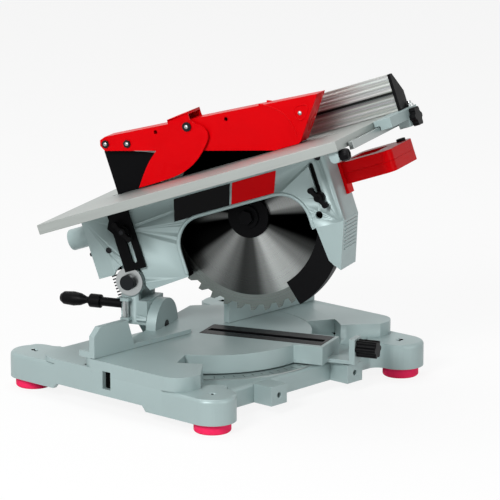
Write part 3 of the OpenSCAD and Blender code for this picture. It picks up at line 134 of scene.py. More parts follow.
def grain(tree, shader, where, scale, depth, detail=3.0):
    """Fine relief of the surface, depth in metres."""
    noise = add(tree, "TexNoise", {"Vector": where, "Scale": scale, "Detail": detail})
    bump = add(tree, "Bump", {"Height": noise.outputs["Fac"], "Strength": GRAIN_STRENGTH, "Distance": depth})
    tree.links.new(bump.outputs["Normal"], shader.inputs["Normal"])


def paint(name, color, metallic=0.3, roughness=(0.34, 0.46)):
    material, tree, shader = new_material(name, color, roughness[0], metallic)
    where = add(tree, "TexCoord").outputs["Object"]
    cloud = mottle(tree, shader, color, where, scale=14.0, depth=0.05)
    vary_roughness(tree, shader, cloud, *roughness)
    grain(tree, shader, where, scale=1400.0, depth=0.00012)
    return material


def plastic(name, color, roughness=(0.4, 0.55), grain_scale=1600.0, relief=0.0001, **sockets):
    material, tree, shader = new_material(name, color, roughness[0], 0.0, **sockets)
    where = add(tree, "TexCoord").outputs["Object"]
    cloud = mottle(tree, shader, color, where, scale=22.0, depth=0.08)
    vary_roughness(tree, shader, cloud, *roughness)
    grain(tree, shader, where, grain_scale, relief)
    return material


def metal(name, color, roughness, place=HEAD, stretch=ALONG_SAW, relief=0.00002, depth=0.07):
    """Bare metal with streaks along the direction that is stretched least."""
    material, tree, shader = new_material(name, color, roughness[0], 1.0)
    where = place_in(tree, place, stretch)
    streak = mottle(tree, shader, color, where, scale=1.0, depth=depth)
    vary_roughness(tree, shader, streak, *roughness)
    grain(tree, shader, where, scale=1.0, depth=relief, detail=2.0)
    return material


# Tint of the greys that metal reflects
GREEN_TINT = 1.04
BLUE_TINT = 1.02


def grey(shade):
    return (shade, GREEN_TINT * shade, BLUE_TINT * shade, 1)


def shades_along(tree, value, shades):
    """Greys that follow a value from 0 to 1, from places and shades."""
    ramp = add(tree, "ValToRGB", {"Fac": value})
    ramp.color_ramp.interpolation = "EASE"
    stops = ramp.color_ramp.elements
    for place, shade in shades[1:-1]:
        stops.new(place).color = grey(shade)
    stops[0].color = grey(shades[0][1])
    stops[len(stops) - 1].color = grey(shades[-1][1])
    return ramp


def overlay(tree, shader, part, shade, detail):
    """Lays fine detail over a shade and makes it the base colour."""
    mix = add(tree, "Mix", {MIX_PART: part, MIX_FIRST: shade, MIX_SECOND: detail}, data_type="RGBA",
              blend_type="SOFT_LIGHT")
    tree.links.new(mix.outputs[MIX_OUT], shader.inputs["Base Color"])


# Painted light and shade of flutes up the rip fence's side, as part of its height and shade, with painted shade
# for a groove half-way
RIP_PAINTED_SHADES = ((0.0, 0.46), (0.12, 0.34), (0.2, 0.46), (0.28, 0.3), (0.36, 0.4), (0.44, 0.17), (0.47, 0.1),
             (0.475, 0.02), (0.535, 0.02), (0.54, 0.25), (0.6, 0.54), (0.68, 0.38), (0.75, 0.58),
             (0.83, 0.38), (0.9, 0.58), (1.0, 0.46))
RIP_COLOR = (0.35, 0.38, 0.37)
RIP_ROUGHNESS = (0.3, 0.42)
RIP_STREAKS = 0.3
RIP_LOW = 0.1115
RIP_HIGH = 0.16


def rip_metal():
    """Extruded aluminium with streaks, and bands of painted light and shade that stand for soft flutes along it.
    """
    material, tree, shader = new_material("fence_aluminium", RIP_COLOR, 0.34, 1.0)
    where = place_in(tree, HEAD, ALONG_SAW)
    streak = add(tree, "TexNoise", {"Vector": where, "Scale": 1.0, "Detail": CLOUD_DETAIL})
    vary_roughness(tree, shader, streak, *RIP_ROUGHNESS)
    height = add(tree, "SeparateXYZ", {"Vector": place_in(tree, HEAD, AS_IT_IS)}).outputs["Z"]
    level = add(tree, "MapRange", {"Value": height, "From Min": RIP_LOW, "From Max": RIP_HIGH})
    # Painted light and shade of the flutes, by height
    painted_flute_shade = shades_along(tree, level.outputs["Result"], RIP_PAINTED_SHADES)
    overlay(tree, shader, RIP_STREAKS, painted_flute_shade.outputs["Color"], streak.outputs["Color"])
    return material


# Painted reflection: brightness of the ground middle of the blade round its axis, as turns and shade
BLADE_PAINTED_REFLECTION = ((0.0, 0.24), (0.018, 0.1), (0.035, 0.0), (0.09, 0.0), (0.115, 0.03), (0.15, 0.16),
             (0.19, 0.36), (0.225, 0.42), (0.255, 0.2), (0.285, 0.04), (0.32, 0.03), (0.355, 0.1),
             (0.394, 0.2), (0.43, 0.1), (0.455, 0.002), (0.515, 0.0), (0.537, 0.07), (0.55, 0.06),
             (0.567, 0.0), (0.92, 0.0), (0.94, 0.05), (0.975, 0.22), (1.0, 0.24))
BLADE_FACE = axes_at(BLADE.translation, HEAD_U, HEAD_V, ACROSS)
BLADE_COLOR = (0.4, 0.42, 0.42)
BLADE_ROUGHNESS = (0.26, 0.4)
# Radius in metres where the plain rim starts, the width of that step and the rim's colour
BLADE_RIM = 0.1035
RIM_STEP = 0.0006
RIM_COLOR = (0.17, 0.19, 0.18, 1)
RING_SCALE = 1500.0
RING_DETAIL = 3.0
RING_PART = 0.35
RING_STRENGTH = 0.25
RING_DEPTH = 0.00003


def blade_steel():
    """Ground disc: a painted reflection, a fan of light and dark, on the ring-brushed middle, and a plain satin
    rim.
    """
    material, tree, shader = new_material("blade_steel", BLADE_COLOR, 0.3, 1.0)
    where = place_in(tree, BLADE_FACE, AS_IT_IS)
    flat = add(tree, "VectorMath", {0: where, 1: (1, 1, 0)}, operation="MULTIPLY")
    radius = add(tree, "VectorMath", {0: flat.outputs["Vector"]}, operation="LENGTH").outputs["Value"]
    rings = add(tree, "TexNoise", {"W": radius, "Scale": RING_SCALE, "Detail": RING_DETAIL},
                noise_dimensions="1D")
    turn = add(tree, "TexGradient", {"Vector": where}, gradient_type="RADIAL")
    # Painted reflection: a fan of light and dark round the blade's axis
    painted_reflection = shades_along(tree, turn.outputs["Fac"], BLADE_PAINTED_REFLECTION)
    outside = add(tree, "MapRange", {"Value": radius, "From Min": BLADE_RIM,
                                     "From Max": BLADE_RIM + RIM_STEP})
    zones = add(tree, "Mix", {MIX_PART: outside.outputs["Result"], MIX_FIRST: painted_reflection.outputs["Color"]},
                data_type="RGBA")
    zones.inputs[MIX_SECOND].default_value = RIM_COLOR
    overlay(tree, shader, RING_PART, zones.outputs[MIX_OUT], rings.outputs["Color"])
    vary_roughness(tree, shader, rings, *BLADE_ROUGHNESS)
    bump = add(tree, "Bump", {"Height": rings.outputs["Fac"], "Strength": RING_STRENGTH,
                              "Distance": RING_DEPTH})
    tree.links.new(bump.outputs["Normal"], shader.inputs["Normal"])
    return material


# Materials of the saw
GREY = paint("grey_casting", (0.33, 0.42, 0.42), 0.2)
DARK_PAINT = paint("dark_casting", (0.045, 0.05, 0.052), 0.1, (0.4, 0.55))
RED = plastic("red_gloss", (0.66, 0.0005, 0.003), (0.26, 0.34), 900.0, 0.00003,
              Specular_IOR_Level=0.04)
RED_RUBBER = plastic("red_rubber", (0.86, 0.02, 0.11), (0.6, 0.75), 1200.0, 0.00015,
                     Specular_IOR_Level=0.2)
BLACK = plastic("black_plastic", (0.003, 0.003, 0.0035), (0.34, 0.46), Specular_IOR_Level=0.07)
BLACK_RUBBER = plastic("black_rubber", (0.005, 0.005, 0.005), (0.7, 0.85), 1200.0, 0.0002,
                       Specular_IOR_Level=0.1)
BLACK_SHEET = plastic("black_steel", (0.002, 0.002, 0.0025), (0.42, 0.56), 1400.0, 0.00008,
                      Specular_IOR_Level=0.05)
BLACK_GLOSS = plastic("black_gloss", (0.002, 0.002, 0.0025), (0.16, 0.24), 700.0, 0.00002,
                      Specular_IOR_Level=0.08)
# Black for painted shade in the saw chamber, the hollows, the bolt holes and behind the wall slots
PAINTED_SHADE = plastic("painted_shade", (0.002, 0.002, 0.002), (0.6, 0.8), 900.0, 0.0002,
                       Specular_IOR_Level=0.02)
TABLE_METAL = metal("table_aluminium", (0.36, 0.385, 0.37), (0.42, 0.55))
RAIL_METAL = metal("extruded_aluminium", (0.37, 0.4, 0.395), (0.3, 0.4), depth=0.05)
BRIGHT = metal("bright_steel", (0.4, 0.42, 0.42), (0.26, 0.34), TURN, (120, 120, 60), 0.000005, 0.04)
DARK_STEEL = metal("dark_steel", (0.02, 0.021, 0.023), (0.35, 0.5), TURN, (400, 400, 80))
BLADE_STEEL = blade_steel()
RIP_METAL = rip_metal()


# Angles in degrees above which an edge shows as sharp, on the solids and on the added pieces
SOLID_CREASE = 32
PIECE_CREASE = 40


# Mesh helpers
def finish_mesh(name, bm, material, smooth=SOLID_CREASE):
    mesh = bpy.data.meshes.new(name)
    bm.to_mesh(mesh)
    bm.free()
    mesh.polygons.foreach_set("use_smooth", [True] * len(mesh.polygons))
    mesh.set_sharp_from_angle(angle=math.radians(smooth))
    mesh.materials.append(material)
    made = bpy.data.objects.new(name, mesh)
    bpy.context.scene.collection.objects.link(made)
    return made


def round_edges(bm, edges, width, segments, held=True):
    bmesh.ops.bevel(bm, geom=edges, offset=width * MM, segments=segments, profile=0.5, affect="EDGES",
                    clamp_overlap=held)


# Joint between the base casting and the wings on it, which is flush on the side walls
SEAM_NODES = ("base_casting", "work_wings")
SEAM_Z = 47
SEAM_X = 209.6
SEAM_FRONT = -102
SEAM_REAR = 94
SEAM_SLACK = 0.1


def at_seam(edge):
    for v in edge.verts:
        at = v.co / MM
        level = abs(at.z - SEAM_Z) < SEAM_SLACK
        between = SEAM_FRONT - SEAM_SLACK < at.y < SEAM_REAR + SEAM_SLACK
        if not (level and between and abs(at.x) > SEAM_X):
            return False
    return True


# Rounding of the solids: gaps in millimetres, angles in degrees and steps across a rounded edge
CUT_GAP = 0.01
WELD_GAP = 0.002
FLAT_ANGLE = 1
EDGE_ANGLE = 25
EDGE_STEPS = 2
WIDE_STEPS = 5


def split_at_seam(bm):
    """Cuts the side walls where the seam starts and ends."""
    for y in (SEAM_FRONT, SEAM_REAR):
        bmesh.ops.bisect_plane(bm, geom=bm.verts[:] + bm.edges[:] + bm.faces[:], dist=CUT_GAP * MM,
                               plane_co=(0, y * MM, 0), plane_no=(0, 1, 0))


def outer_edges(bm):
    return [e for e in bm.edges if len(e.link_faces) == 2 and not at_seam(e)]


def softened(node, material, width, wide=None, wide_width=0.0, held=True):
    """A copy of a solid with its edges rounded, which stands for it; chosen edges are rounded more."""
    bm = bmesh.new()
    bm.from_mesh(NODES[node].data)
    bmesh.ops.remove_doubles(bm, verts=bm.verts, dist=WELD_GAP * MM)
    bmesh.ops.dissolve_limit(bm, angle_limit=math.radians(FLAT_ANGLE), verts=bm.verts, edges=bm.edges)
    if node in SEAM_NODES:
        split_at_seam(bm)
    if wide:
        round_edges(bm, [e for e in outer_edges(bm) if wide(e)], wide_width, WIDE_STEPS, held)
    corners = [e for e in outer_edges(bm) if e.calc_face_angle() > math.radians(EDGE_ANGLE)]
    round_edges(bm, corners, width, EDGE_STEPS)
    made = finish_mesh(node + ".soft", bm, material)
    even = made.modifiers.new("even_normals", "WEIGHTED_NORMAL")
    even.keep_sharp = True
    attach(made, BODY_OF[node])
    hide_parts(node)
    return made


# A corner turns by more than this angle; the rest are limits on parts of a face's direction
CORNER_ANGLE = math.radians(60)
LEVEL = 0.99
UPRIGHT = 0.05
OUTWARD = 0.02
FORWARD = -0.7
# Left face of the casing and where its front part starts, in the head's frame
CASING_FACE = -32
CASING_FRONT = -300
CASING_SLACK = 0.05


def outer_top(edge):
    """An edge between an upper face and a wall that looks outwards, on the base."""
    if edge.calc_face_angle() < CORNER_ANGLE:
        return False
    ups = sorted(face.normal.z for face in edge.link_faces)
    wall = min(edge.link_faces, key=lambda face: face.normal.z)
    at = (edge.verts[0].co + edge.verts[1].co) / 2
    return ups[1] > LEVEL and abs(ups[0]) < UPRIGHT and wall.normal.xy.dot(at.xy) > OUTWARD


def casing_corner(edge):
    """An edge of the casing's left face along its front and its underside."""
    back = HEAD.inverted()
    ends = [(back @ v.co) / MM for v in edge.verts]
    turns = [back.to_3x3() @ face.normal for face in edge.link_faces]
    on_left = all(abs(p.x - CASING_FACE) < CASING_SLACK for p in ends)
    front = all(p.y < CASING_FRONT for p in ends) and min(n.y for n in turns) < FORWARD
    return on_left and front and edge.calc_face_angle() > CORNER_ANGLE


# Painted shade: the faces inside the saw chamber are made black; its middle and its walls in the head's frame, in
# millimetres
CHAMBER = Vector((0, -150, 30))
CHAMBER_LEFT = -28.5
CHAMBER_RIGHT = 16.5
CHAMBER_REAR = -45
INWARD = 0.5


def paint_chamber_shade(made, first_x, last_x):
    """Paints shade on the faces that look into the saw chamber, as a black finish."""
    made.data.materials.append(PAINTED_SHADE)
    back = HEAD.inverted()
    rotate = back.to_3x3()
    for face in made.data.polygons:
        at = (back @ face.center) / MM
        way = rotate @ face.normal
        if not first_x < at.x < last_x or at.y > CHAMBER_REAR:
            continue
        side = CHAMBER.x - at.x
        if way.x * side > INWARD * abs(side) or way.yz.dot((at - CHAMBER).yz) < 0:
            face.material_index = 1


# A face that looks up more than this is a top, not a wall of a hollow
TOP_FACE = 0.95


def paint_hollow_shade(made, low, high):
    """Paints shade dark on the faces of a hollow, within a box in millimetres on either side."""
    made.data.materials.append(PAINTED_SHADE)
    index = len(made.data.materials) - 1
    for face in made.data.polygons:
        at = Vector((abs(face.center.x), face.center.y, face.center.z)) / MM
        if face.normal.z < TOP_FACE and all(a <= p <= b for a, p, b in zip(low, at, high)):
            face.material_index = index


def painted(node, material):
    """Leaves a solid as it is and gives it a material."""
    NODES[node].data.materials.clear()
    NODES[node].data.materials.append(material)


# Material and edge radius in millimetres of each solid
LOOKS = {
    "base_casting": (GREY, 1.2), "work_wings": (GREY, 1.2), "stop_blocks": (GREY, 1.5),
    "rubber_feet": (RED_RUBBER, 0.8), "mitre_scale": (RAIL_METAL, 0),
    "fence_left": (GREY, 1.0), "fence_right": (GREY, 1.0), "fence_screws": (DARK_STEEL, 0.3),
    "turntable": (GREY, 1.0), "kerf_insert": (BLACK, 0.4), "turntable_pins": (DARK_STEEL, 0),
    "mitre_knob": (BLACK, 0.8), "bevel_bracket": (GREY, 1.0),
    "stop_post": (BRIGHT, 0.5), "pivot_discs": (BRIGHT, 0.5), "pivot_bolt": (DARK_STEEL, 0.8),
    "return_spring": (DARK_STEEL, 0), "bevel_lever": (BLACK, 0.6), "left_cover": (GREY, 1.2),
    "head_casting": (GREY, 1.0), "front_shroud": (GREY, 0.6), "cover_screws": (DARK_STEEL, 0.2),
    "dust_port": (GREY, 0.6), "label_black": (BLACK_GLOSS, 0.25), "label_red": (RED, 0.25),
    "belt_cover": (BLACK, 1.5), "motor_housing": (DARK_PAINT, 0.4), "motor_cap": (BLACK, 1.0),
    "stator": (DARK_STEEL, 0), "handle_upper": (RED, 4.0), "handle_lower": (RED, 4.0),
    "cord_gland": (BLACK_RUBBER, 0.6), "riving_knife": (BLACK_SHEET, 0.3), "knife_clamp": (BRIGHT, 0.5),
    "bearings": (BRIGHT, 0), "belt": (BLACK_RUBBER, 0), "blade": (BLADE_STEEL, 0),
    "blade_flanges": (BLACK_SHEET, 0.6), "spindle": (BRIGHT, 0), "arbor_bolt": (BLACK_SHEET, 0.5),
    "driven_pulley": (RAIL_METAL, 0), "rotor": (DARK_STEEL, 0), "lower_guard": (BLACK, 0.5),
    "trigger": (BLACK, 2.0), "lock_button": (BLACK, 0.8), "upper_table": (TABLE_METAL, 0.5),
    "table_insert": (TABLE_METAL, 0.3), "rear_guide": (BLACK_SHEET, 0.4), "front_guide": (BLACK_SHEET, 0.3),
    "front_rail": (RAIL_METAL, 0.5), "front_wing": (BLACK, 0.8), "rear_wing": (BLACK, 0.8),
    "crown_guard": (RED, 0.8), "crown_bolts": (DARK_STEEL, 0.3),
    "flap_bolt": (DARK_STEEL, 0.4), "rip_fence": (RIP_METAL, 0.2), "rip_cap": (BLACK, 0.8),
    "rip_carrier": (GREY, 0.8), "rip_knob": (BLACK, 0.8),
}
# Edges that are rounded more, by how much, and if they are held back where two meet
WIDE = {
    "base_casting": (outer_top, 5.0, False),
    "work_wings": (outer_top, 3.5, True),
    "left_cover": (casing_corner, 4.0, False),
}
SHOWN = {}
for node, (material, width) in LOOKS.items():
    if width:
        SHOWN[node] = softened(node, material, width, *WIDE.get(node, ()))
    else:
        painted(node, material)
# Painted shade inside the saw chamber of the casing
paint_chamber_shade(SHOWN["left_cover"], CHAMBER_LEFT, CHAMBER_RIGHT)
paint_chamber_shade(SHOWN["head_casting"], CHAMBER_LEFT, CHAMBER_RIGHT)
# Painted shade in the hollow under each work wing
WING_HOLLOW = ((149.5, -88.5, 14), (204.5, 42.5, 59.5))
paint_hollow_shade(SHOWN["base_casting"], *WING_HOLLOW)
paint_hollow_shade(SHOWN["work_wings"], *WING_HOLLOW)
# Painted shade in the bench bolt holes, at the same distance on either side
BOLT_X = 180
BOLT_Y = 158
BOLT_ROOM = 4.4
BOLT_LOW = 14
BOLT_HIGH = 47.1
for y in (-BOLT_Y, BOLT_Y):
    low = (BOLT_X - BOLT_ROOM, y - BOLT_ROOM, BOLT_LOW)
    high = (BOLT_X + BOLT_ROOM, y + BOLT_ROOM, BOLT_HIGH)
    paint_hollow_shade(SHOWN["base_casting"], low, high)


# Piece helpers: shapes are drawn in millimetres in a frame of the saw, as x, u and v
def piece(name, body, material, bm, place=HEAD):
    bmesh.ops.recalc_face_normals(bm, faces=bm.faces)
    bmesh.ops.transform(bm, matrix=place @ Matrix.Scale(MM, 4), verts=bm.verts)
    made = finish_mesh(name, bm, material, PIECE_CREASE)
    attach(made, body)
    return made


def skin(bm, rings, closed=False):
    """Joins rings of points, each as long as the next, into one surface."""
    rows = [[bm.verts.new(p) for p in ring] for ring in rings]
    pairs = list(zip(rows, rows[1:]))
    if closed:
        pairs.append((rows[-1], rows[0]))
    for a, b in pairs:
        for k in range(len(a)):
            n = (k + 1) % len(a)
            bm.faces.new((a[k], a[n], b[n], b[k]))
    if not closed:
        bm.faces.new(rows[0])
        bm.faces.new(rows[-1])


def slab(bm, outline, low, high, edge):
    """Sheet between two values of x with eased edges, from an outline in u and v."""
    made = bmesh.new()
    skin(made, [[(x, u, v) for u, v in outline] for x in (low, high)])
    rim = [e for e in made.edges if abs(e.verts[0].co.x - e.verts[1].co.x) < 1e-6]
    bmesh.ops.bevel(made, geom=rim, offset=edge, segments=EDGE_STEPS, profile=0.5, affect="EDGES",
                    clamp_overlap=True)
    keep = bpy.data.meshes.new("slab")
    made.to_mesh(keep)
    made.free()
    bm.from_mesh(keep)
    bpy.data.meshes.remove(keep)


def turned(bm, profile, at, way, sides, lobes=0, depth=0.0):
    """Solid of revolution from radius and height pairs along a direction, with lobes round it if wanted."""
    turn = UP.rotation_difference(Vector(way))
    rings = []
    for radius, height in profile:
        ring = []
        for k in range(sides):
            a = 2 * math.pi * k / sides
            r = radius * (1 + depth * math.cos(lobes * a))
            ring.append(Vector(at) + turn @ Vector((r * math.cos(a), r * math.sin(a), height)))
        rings.append(ring)
    skin(bm, rings)


TUBE_SIDES = 10


def tube(bm, points, radius, closed=False):
    """Round bar along a line of points."""
    points = [Vector(p) for p in points]
    count = len(points)
    rings = []
    for k, p in enumerate(points):
        before = points[k - 1] if k or closed else p
        after = points[(k + 1) % count] if k < count - 1 or closed else p
        along = (after - before).normalized()
        first = along.cross(Vector((1, 0.3, 0.2))).normalized()
        second = along.cross(first)
        rings.append([p + radius * (math.cos(a) * first + math.sin(a) * second)
                      for a in (2 * math.pi * i / TUBE_SIDES for i in range(TUBE_SIDES))])
    skin(bm, rings, closed)


# Part of each side that is cut off at a corner
CORNER_CUT = 0.25


def eased(points, rounds=2, sharp=(), closed=True):
    """Cuts the corners of an outline again and again, apart from those kept sharp."""
    marked = [(Vector(p), k in sharp) for k, p in enumerate(points)]
    for _ in range(rounds):
        done = []
        count = len(marked)
        for k, (p, keep) in enumerate(marked):
            open_end = not closed and k in (0, count - 1)
            if keep or open_end:
                done.append((p, keep))
                continue
            before, after = marked[k - 1][0], marked[(k + 1) % count][0]
            done.append((p.lerp(before, CORNER_CUT), False))
            done.append((p.lerp(after, CORNER_CUT), False))
        marked = done
    return [tuple(p) for p, _ in marked]


ARC_STEPS = 10


def arc(middle, radius, start, stop):
    angles = [math.radians(start + (stop - start) * k / ARC_STEPS) for k in range(ARC_STEPS + 1)]
    return [(middle[0] + radius * math.cos(a), middle[1] + radius * math.sin(a)) for a in angles]


def on_face(x, outline):
    return [(x, u, v) for u, v in outline]


# Flap of the crown guard: two rounded cheeks joined by a folded tab
FLAP = ((-115.6, 187.4), (-147, 190), (-146.4, 180.6), (-148, 174.5), (-158.6, 169.5), (-165.3, 161),
        (-165.4, 152.5), (-158.6, 143.5), (-143.1, 129.1), (-126.6, 120), (-106.8, 114.6), (-79.6, 113.2),
        (-47.5, 113), (-69.4, 139), (-85.8, 152), (-105.1, 164.6), (-113.6, 171.8), (-115.7, 182))
FLAP_CORNERS = (0, 1, 12)
FLAP_TAB = ((-115.6, 187.4), (-147, 190), (-146.6, 186.8), (-115.6, 184.4))
FLAP_HALF = 20
FLAP_SHEET = 2.5
FLAP_EDGE = 0.9
TAB_EDGE = 0.6


def guard_flap():
    bm = bmesh.new()
    outline = eased(FLAP, 2, FLAP_CORNERS)
    slab(bm, outline, -FLAP_HALF, FLAP_SHEET - FLAP_HALF, FLAP_EDGE)
    slab(bm, outline, FLAP_HALF - FLAP_SHEET, FLAP_HALF, FLAP_EDGE)
    slab(bm, FLAP_TAB, -FLAP_HALF, FLAP_HALF, TAB_EDGE)
    made = piece("guard_flap.sheet", "guard_flap", RED, bm)
    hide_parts("guard_flap")


# Raised lines and bolt centres of the crown guard
CROWN_HALF = 14
CROWN_CURVE = ((-243, 173), (-250, 170.5), (-262, 163.5), (-274, 152.5), (-280.5, 137), (-281, 122))
CROWN_PANEL = ((-284, 158), (-313, 157.2), (-292, 133))
CROWN_SCREW = (-294, 148.5)
CROWN_BOLTS = ((-18.5, 179.2), (-48.3, 171.8))
FLAP_BOLT = (-140.4, 172)
# Radius of each raised line, and how far its middle lies inside the guard's face
CURVE_LINE = 1.3
PANEL_LINE = 1.1
LINE_SUNK = 0.3
# Height of each bolt centre over the cheek that it sits on
BOLT_PROUD = 1.9
SCREW_PROUD = 0.2
FLAP_BOLT_PROUD = 3
BOLT_SIDES = 20
BOLT_CENTRE = ((2.6, -0.4), (2.6, 0.5), (1.9, 1.1), (0.9, 1.3), (0.8, 0.7), (0.1, 0.7))


def crown_details():
    bm = bmesh.new()
    for side in (-1, 1):
        x = side * (CROWN_HALF - LINE_SUNK)
        tube(bm, eased(on_face(x, CROWN_CURVE), 2, closed=False), CURVE_LINE)
        tube(bm, eased(on_face(x, CROWN_PANEL), 3), PANEL_LINE, closed=True)
    piece("crown_ribs", "crown_guard", RED, bm)
    bm = bmesh.new()
    for side in (-1, 1):
        for u, v in CROWN_BOLTS:
            turned(bm, BOLT_CENTRE, (side * (CROWN_HALF + BOLT_PROUD), u, v), (side, 0, 0), BOLT_SIDES)
        at = (side * (CROWN_HALF + SCREW_PROUD), *CROWN_SCREW)
        turned(bm, BOLT_CENTRE, at, (side, 0, 0), BOLT_SIDES)
    piece("crown_bolt_centres", "crown_guard", BRIGHT, bm)
    bm = bmesh.new()
    for side in (-1, 1):
        at = (side * (FLAP_HALF + FLAP_BOLT_PROUD), *FLAP_BOLT)
        turned(bm, BOLT_CENTRE, at, (side, 0, 0), BOLT_SIDES)
    piece("flap_bolt_centres", "guard_flap", BRIGHT, bm)


# Rolled bead round the blade window on the casing's left face
BEAD_REAR = -82
BEAD_FRONT = -272
BEAD_TOP = 59
BEAD_CORNER = 40
BEAD_REAR_FOOT = -10
BEAD_FRONT_FOOT = 6
BEAD_RADIUS = 2.6
BEAD_SUNK = 0.4


def window_bead():
    rear = arc((BEAD_REAR - BEAD_CORNER, BEAD_TOP - BEAD_CORNER), BEAD_CORNER, 0, 90)
    front = arc((BEAD_FRONT + BEAD_CORNER, BEAD_TOP - BEAD_CORNER), BEAD_CORNER, 90, 180)
    line = [(BEAD_REAR, BEAD_REAR_FOOT), *rear, *front, (BEAD_FRONT, BEAD_FRONT_FOOT)]
    bm = bmesh.new()
    tube(bm, on_face(CASING_FACE + BEAD_SUNK, line), BEAD_RADIUS)
    piece("window_bead", "head", GREY, bm)


# Stop with its clamp knob under the table's front left corner
STOP_AT = (-120, -370)
STOP_LOW = 84
STOP_HALF_X = 7
STOP_HALF_U = 6
STOP_REAR_TOP = 8
STOP_EDGE = 1.2
TABLE_UNDER = 98.2
KNOB_AT_V = 91
KNOB_SIDES = 48
KNOB_LOBES = 8
KNOB_LOBE_DEPTH = 0.05
KNOB_RINGS = ((1.5, 0), (6.3, 0), (7.2, 1.2), (7.4, 9), (6.6, 11), (4.2, 11.6), (3.8, 10.6), (0.2, 10.6))


def table_stop():
    bm = bmesh.new()
    x, u = STOP_AT
    outline = ((u - STOP_HALF_U, STOP_LOW), (u + STOP_HALF_U, STOP_LOW), (u + STOP_REAR_TOP, TABLE_UNDER),
               (u - STOP_HALF_U, TABLE_UNDER))
    slab(bm, eased(outline, 1, (2, 3)), x - STOP_HALF_X, x + STOP_HALF_X, STOP_EDGE)
    piece("table_stop", "upper_table", GREY, bm)
    bm = bmesh.new()
    at = (x, u - STOP_HALF_U, KNOB_AT_V)
    turned(bm, KNOB_RINGS, at, (0, -1, 0), KNOB_SIDES, KNOB_LOBES, KNOB_LOBE_DEPTH)
    piece("table_stop_knob", "upper_table", BLACK, bm)


# Upright clamp bolt with its nut on the fence carrier
NUT_AT = (84, -400.5, 111.2)
NUT_RINGS = ((4.6, 0), (4.6, 3.4), (4.1, 3.9), (2.6, 3.9), (2.6, 7.2), (2.1, 7.8), (0.2, 7.8))
NUT_SIDES = 24


def carrier_nut():
    bm = bmesh.new()
    turned(bm, NUT_RINGS, NUT_AT, (0, 0, 1), NUT_SIDES)
    piece("carrier_nut", "rip_fence", BRIGHT, bm)


# Painted shade: a black sheet inside each side wall's slot that stands for the shade seen through it
SLOT_SHADE_OUTLINE = ((-13, 27), (5, 27), (5, 56), (-13, 56))
WALL_INSIDE = 204
SLOT_SHADE_THICKNESS = 1.6
SLOT_SHADE_EDGE = 0.5


def slot_shade_sheets():
    bm = bmesh.new()
    outline = eased(SLOT_SHADE_OUTLINE, 2)
    slab(bm, outline, -WALL_INSIDE, SLOT_SHADE_THICKNESS - WALL_INSIDE, SLOT_SHADE_EDGE)
    slab(bm, outline, WALL_INSIDE - SLOT_SHADE_THICKNESS, WALL_INSIDE, SLOT_SHADE_EDGE)
    piece("slot_shade_sheets", "base", PAINTED_SHADE, bm, Matrix.Identity(4))


# Degree marks on the mitre scale
SCALE_MARKS = range(-45, 46, 5)
SCALE_INNER = 140
LONG_EVERY = 15
LONG_MARK = 11
SHORT_MARK = 7
MARK_HALF = 0.35
MARK_SUNK = 0.1
MARK_PROUD = 0.08


def scale_marks():
    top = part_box("mitre_scale")[1][2] / MM
    middle = Vector(JOINT["mitre_turn"]["pos_m"]) / MM
    bm = bmesh.new()
    for angle in SCALE_MARKS:
        outer = SCALE_INNER + (SHORT_MARK if angle % LONG_EVERY else LONG_MARK)
        turn = Matrix.Rotation(math.radians(angle), 4, "Z")
        corners = ((-MARK_HALF, -SCALE_INNER), (MARK_HALF, -SCALE_INNER), (MARK_HALF, -outer),
                   (-MARK_HALF, -outer))
        levels = (top - MARK_SUNK, top + MARK_PROUD)
        rings = [[turn @ Vector((x, y, z)) for x, y in corners] for z in levels]
        skin(bm, [[p + Vector((middle.x, middle.y, 0)) for p in ring] for ring in rings])
    piece("scale_marks", "base", BLACK_SHEET, bm, Matrix.Identity(4))


guard_flap()
crown_details()
window_bead()
table_stop()
carrier_nut()
slot_shade_sheets()
scale_marks()


# Camera at the photograph's angle, for a frame of 500 by 500
CAMERA_AT = Vector((-3.10642, -2.90192, 1.16316))
CAMERA_TURN = math.radians(42.496)
CAMERA_DOWN = math.radians(13.110)
FOCAL_PIXELS = 3382.19
FRAME_PIXELS = 500
SENSOR = 36.0
VIEW_END = 50
camera_data = bpy.data.cameras.new("camera")
camera_data.sensor_width = SENSOR
camera_data.lens = FOCAL_PIXELS / FRAME_PIXELS * SENSOR
camera_data.clip_end = VIEW_END
camera = bpy.data.objects.new("camera", camera_data)
bpy.context.scene.collection.objects.link(camera)
camera.location = CAMERA_AT
camera.rotation_euler = (math.pi / 2 - CAMERA_DOWN, 0, CAMERA_TURN - math.pi / 2)
bpy.context.scene.camera = camera


# Soft studio light
def area_light(name, at, target, size, power):
    data = bpy.data.lights.new(name, "AREA")
    data.shape = "RECTANGLE"
    data.size = size
    data.size_y = size
    data.energy = power
    light = bpy.data.objects.new(name, data)
    bpy.context.scene.collection.objects.link(light)
    light.location = at
    light.rotation_euler = (Vector(target) - Vector(at)).to_track_quat("-Z", "Y").to_euler()


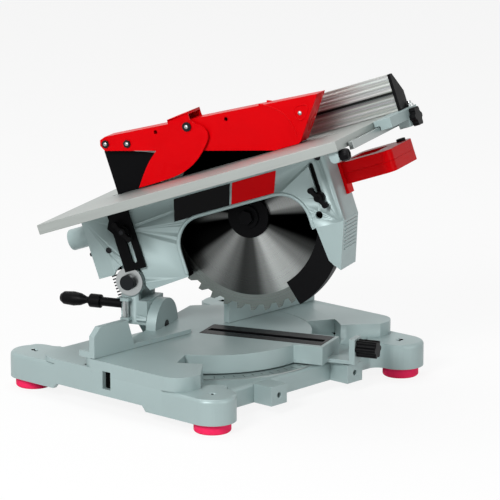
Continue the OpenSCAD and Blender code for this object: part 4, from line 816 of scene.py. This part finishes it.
MIDDLE = (0, 0, 0.2)
area_light("key", (-2.2, -0.65, 1.45), MIDDLE, size=0.8, power=48)
area_light("fill", (0.4, -2.5, 0.7), MIDDLE, size=1.2, power=12)
area_light("top", (0.2, 0.6, 2.4), MIDDLE, size=1.6, power=26)


def seen_rays(tree):
    """1 for what the camera, shiny surfaces and clear ones see, and 0 for the rest."""
    path = add(tree, "LightPath")
    direct = add(tree, "Math", {0: path.outputs["Is Camera Ray"], 1: path.outputs["Is Glossy Ray"]},
                 operation="MAXIMUM")
    clear = add(tree, "Math", {0: direct.outputs[0], 1: path.outputs["Is Transmission Ray"]},
                operation="MAXIMUM")
    return clear.outputs[0]


# White background for what the camera and the shiny surfaces see, a plain grey sky for the rest
WHITE = (1, 1, 1, 1)
SKY_STRENGTH = 0.22
WHITE_STRENGTH = 1.0
world = bpy.data.worlds.new("studio")
bpy.context.scene.world = world
world.use_nodes = True
sky = world.node_tree
sky.nodes.clear()
plain = add(sky, "Background", {"Color": WHITE, "Strength": SKY_STRENGTH})
bright = add(sky, "Background", {"Color": WHITE, "Strength": WHITE_STRENGTH})
both = add(sky, "MixShader", {0: seen_rays(sky), 1: plain.outputs[0], 2: bright.outputs[0]})
add(sky, "OutputWorld", {"Surface": both.outputs[0]})

# Pale floor, close to white for the camera, that keeps a faint shadow
FLOOR_SIZE = 12
FLOOR_COLOR = (0.9, 0.9, 0.9, 1)
FLOOR_GLOW = 0.88
floor_mesh = bmesh.new()
bmesh.ops.create_grid(floor_mesh, x_segments=1, y_segments=1, size=FLOOR_SIZE)
floor_material = bpy.data.materials.new("floor")
floor_material.use_nodes = True
ground = floor_material.node_tree
ground.nodes.clear()
pale = add(ground, "BsdfDiffuse", {"Color": FLOOR_COLOR})
glow = add(ground, "Emission", {"Color": WHITE, "Strength": WHITE_STRENGTH})
lit = add(ground, "MixShader", {0: FLOOR_GLOW, 1: pale.outputs[0], 2: glow.outputs[0]})
either = add(ground, "MixShader", {0: seen_rays(ground), 1: pale.outputs[0], 2: lit.outputs[0]})
add(ground, "OutputMaterial", {"Surface": either.outputs[0]})
floor = finish_mesh("floor", floor_mesh, floor_material)

bpy.context.scene.view_settings.view_transform = "Standard"
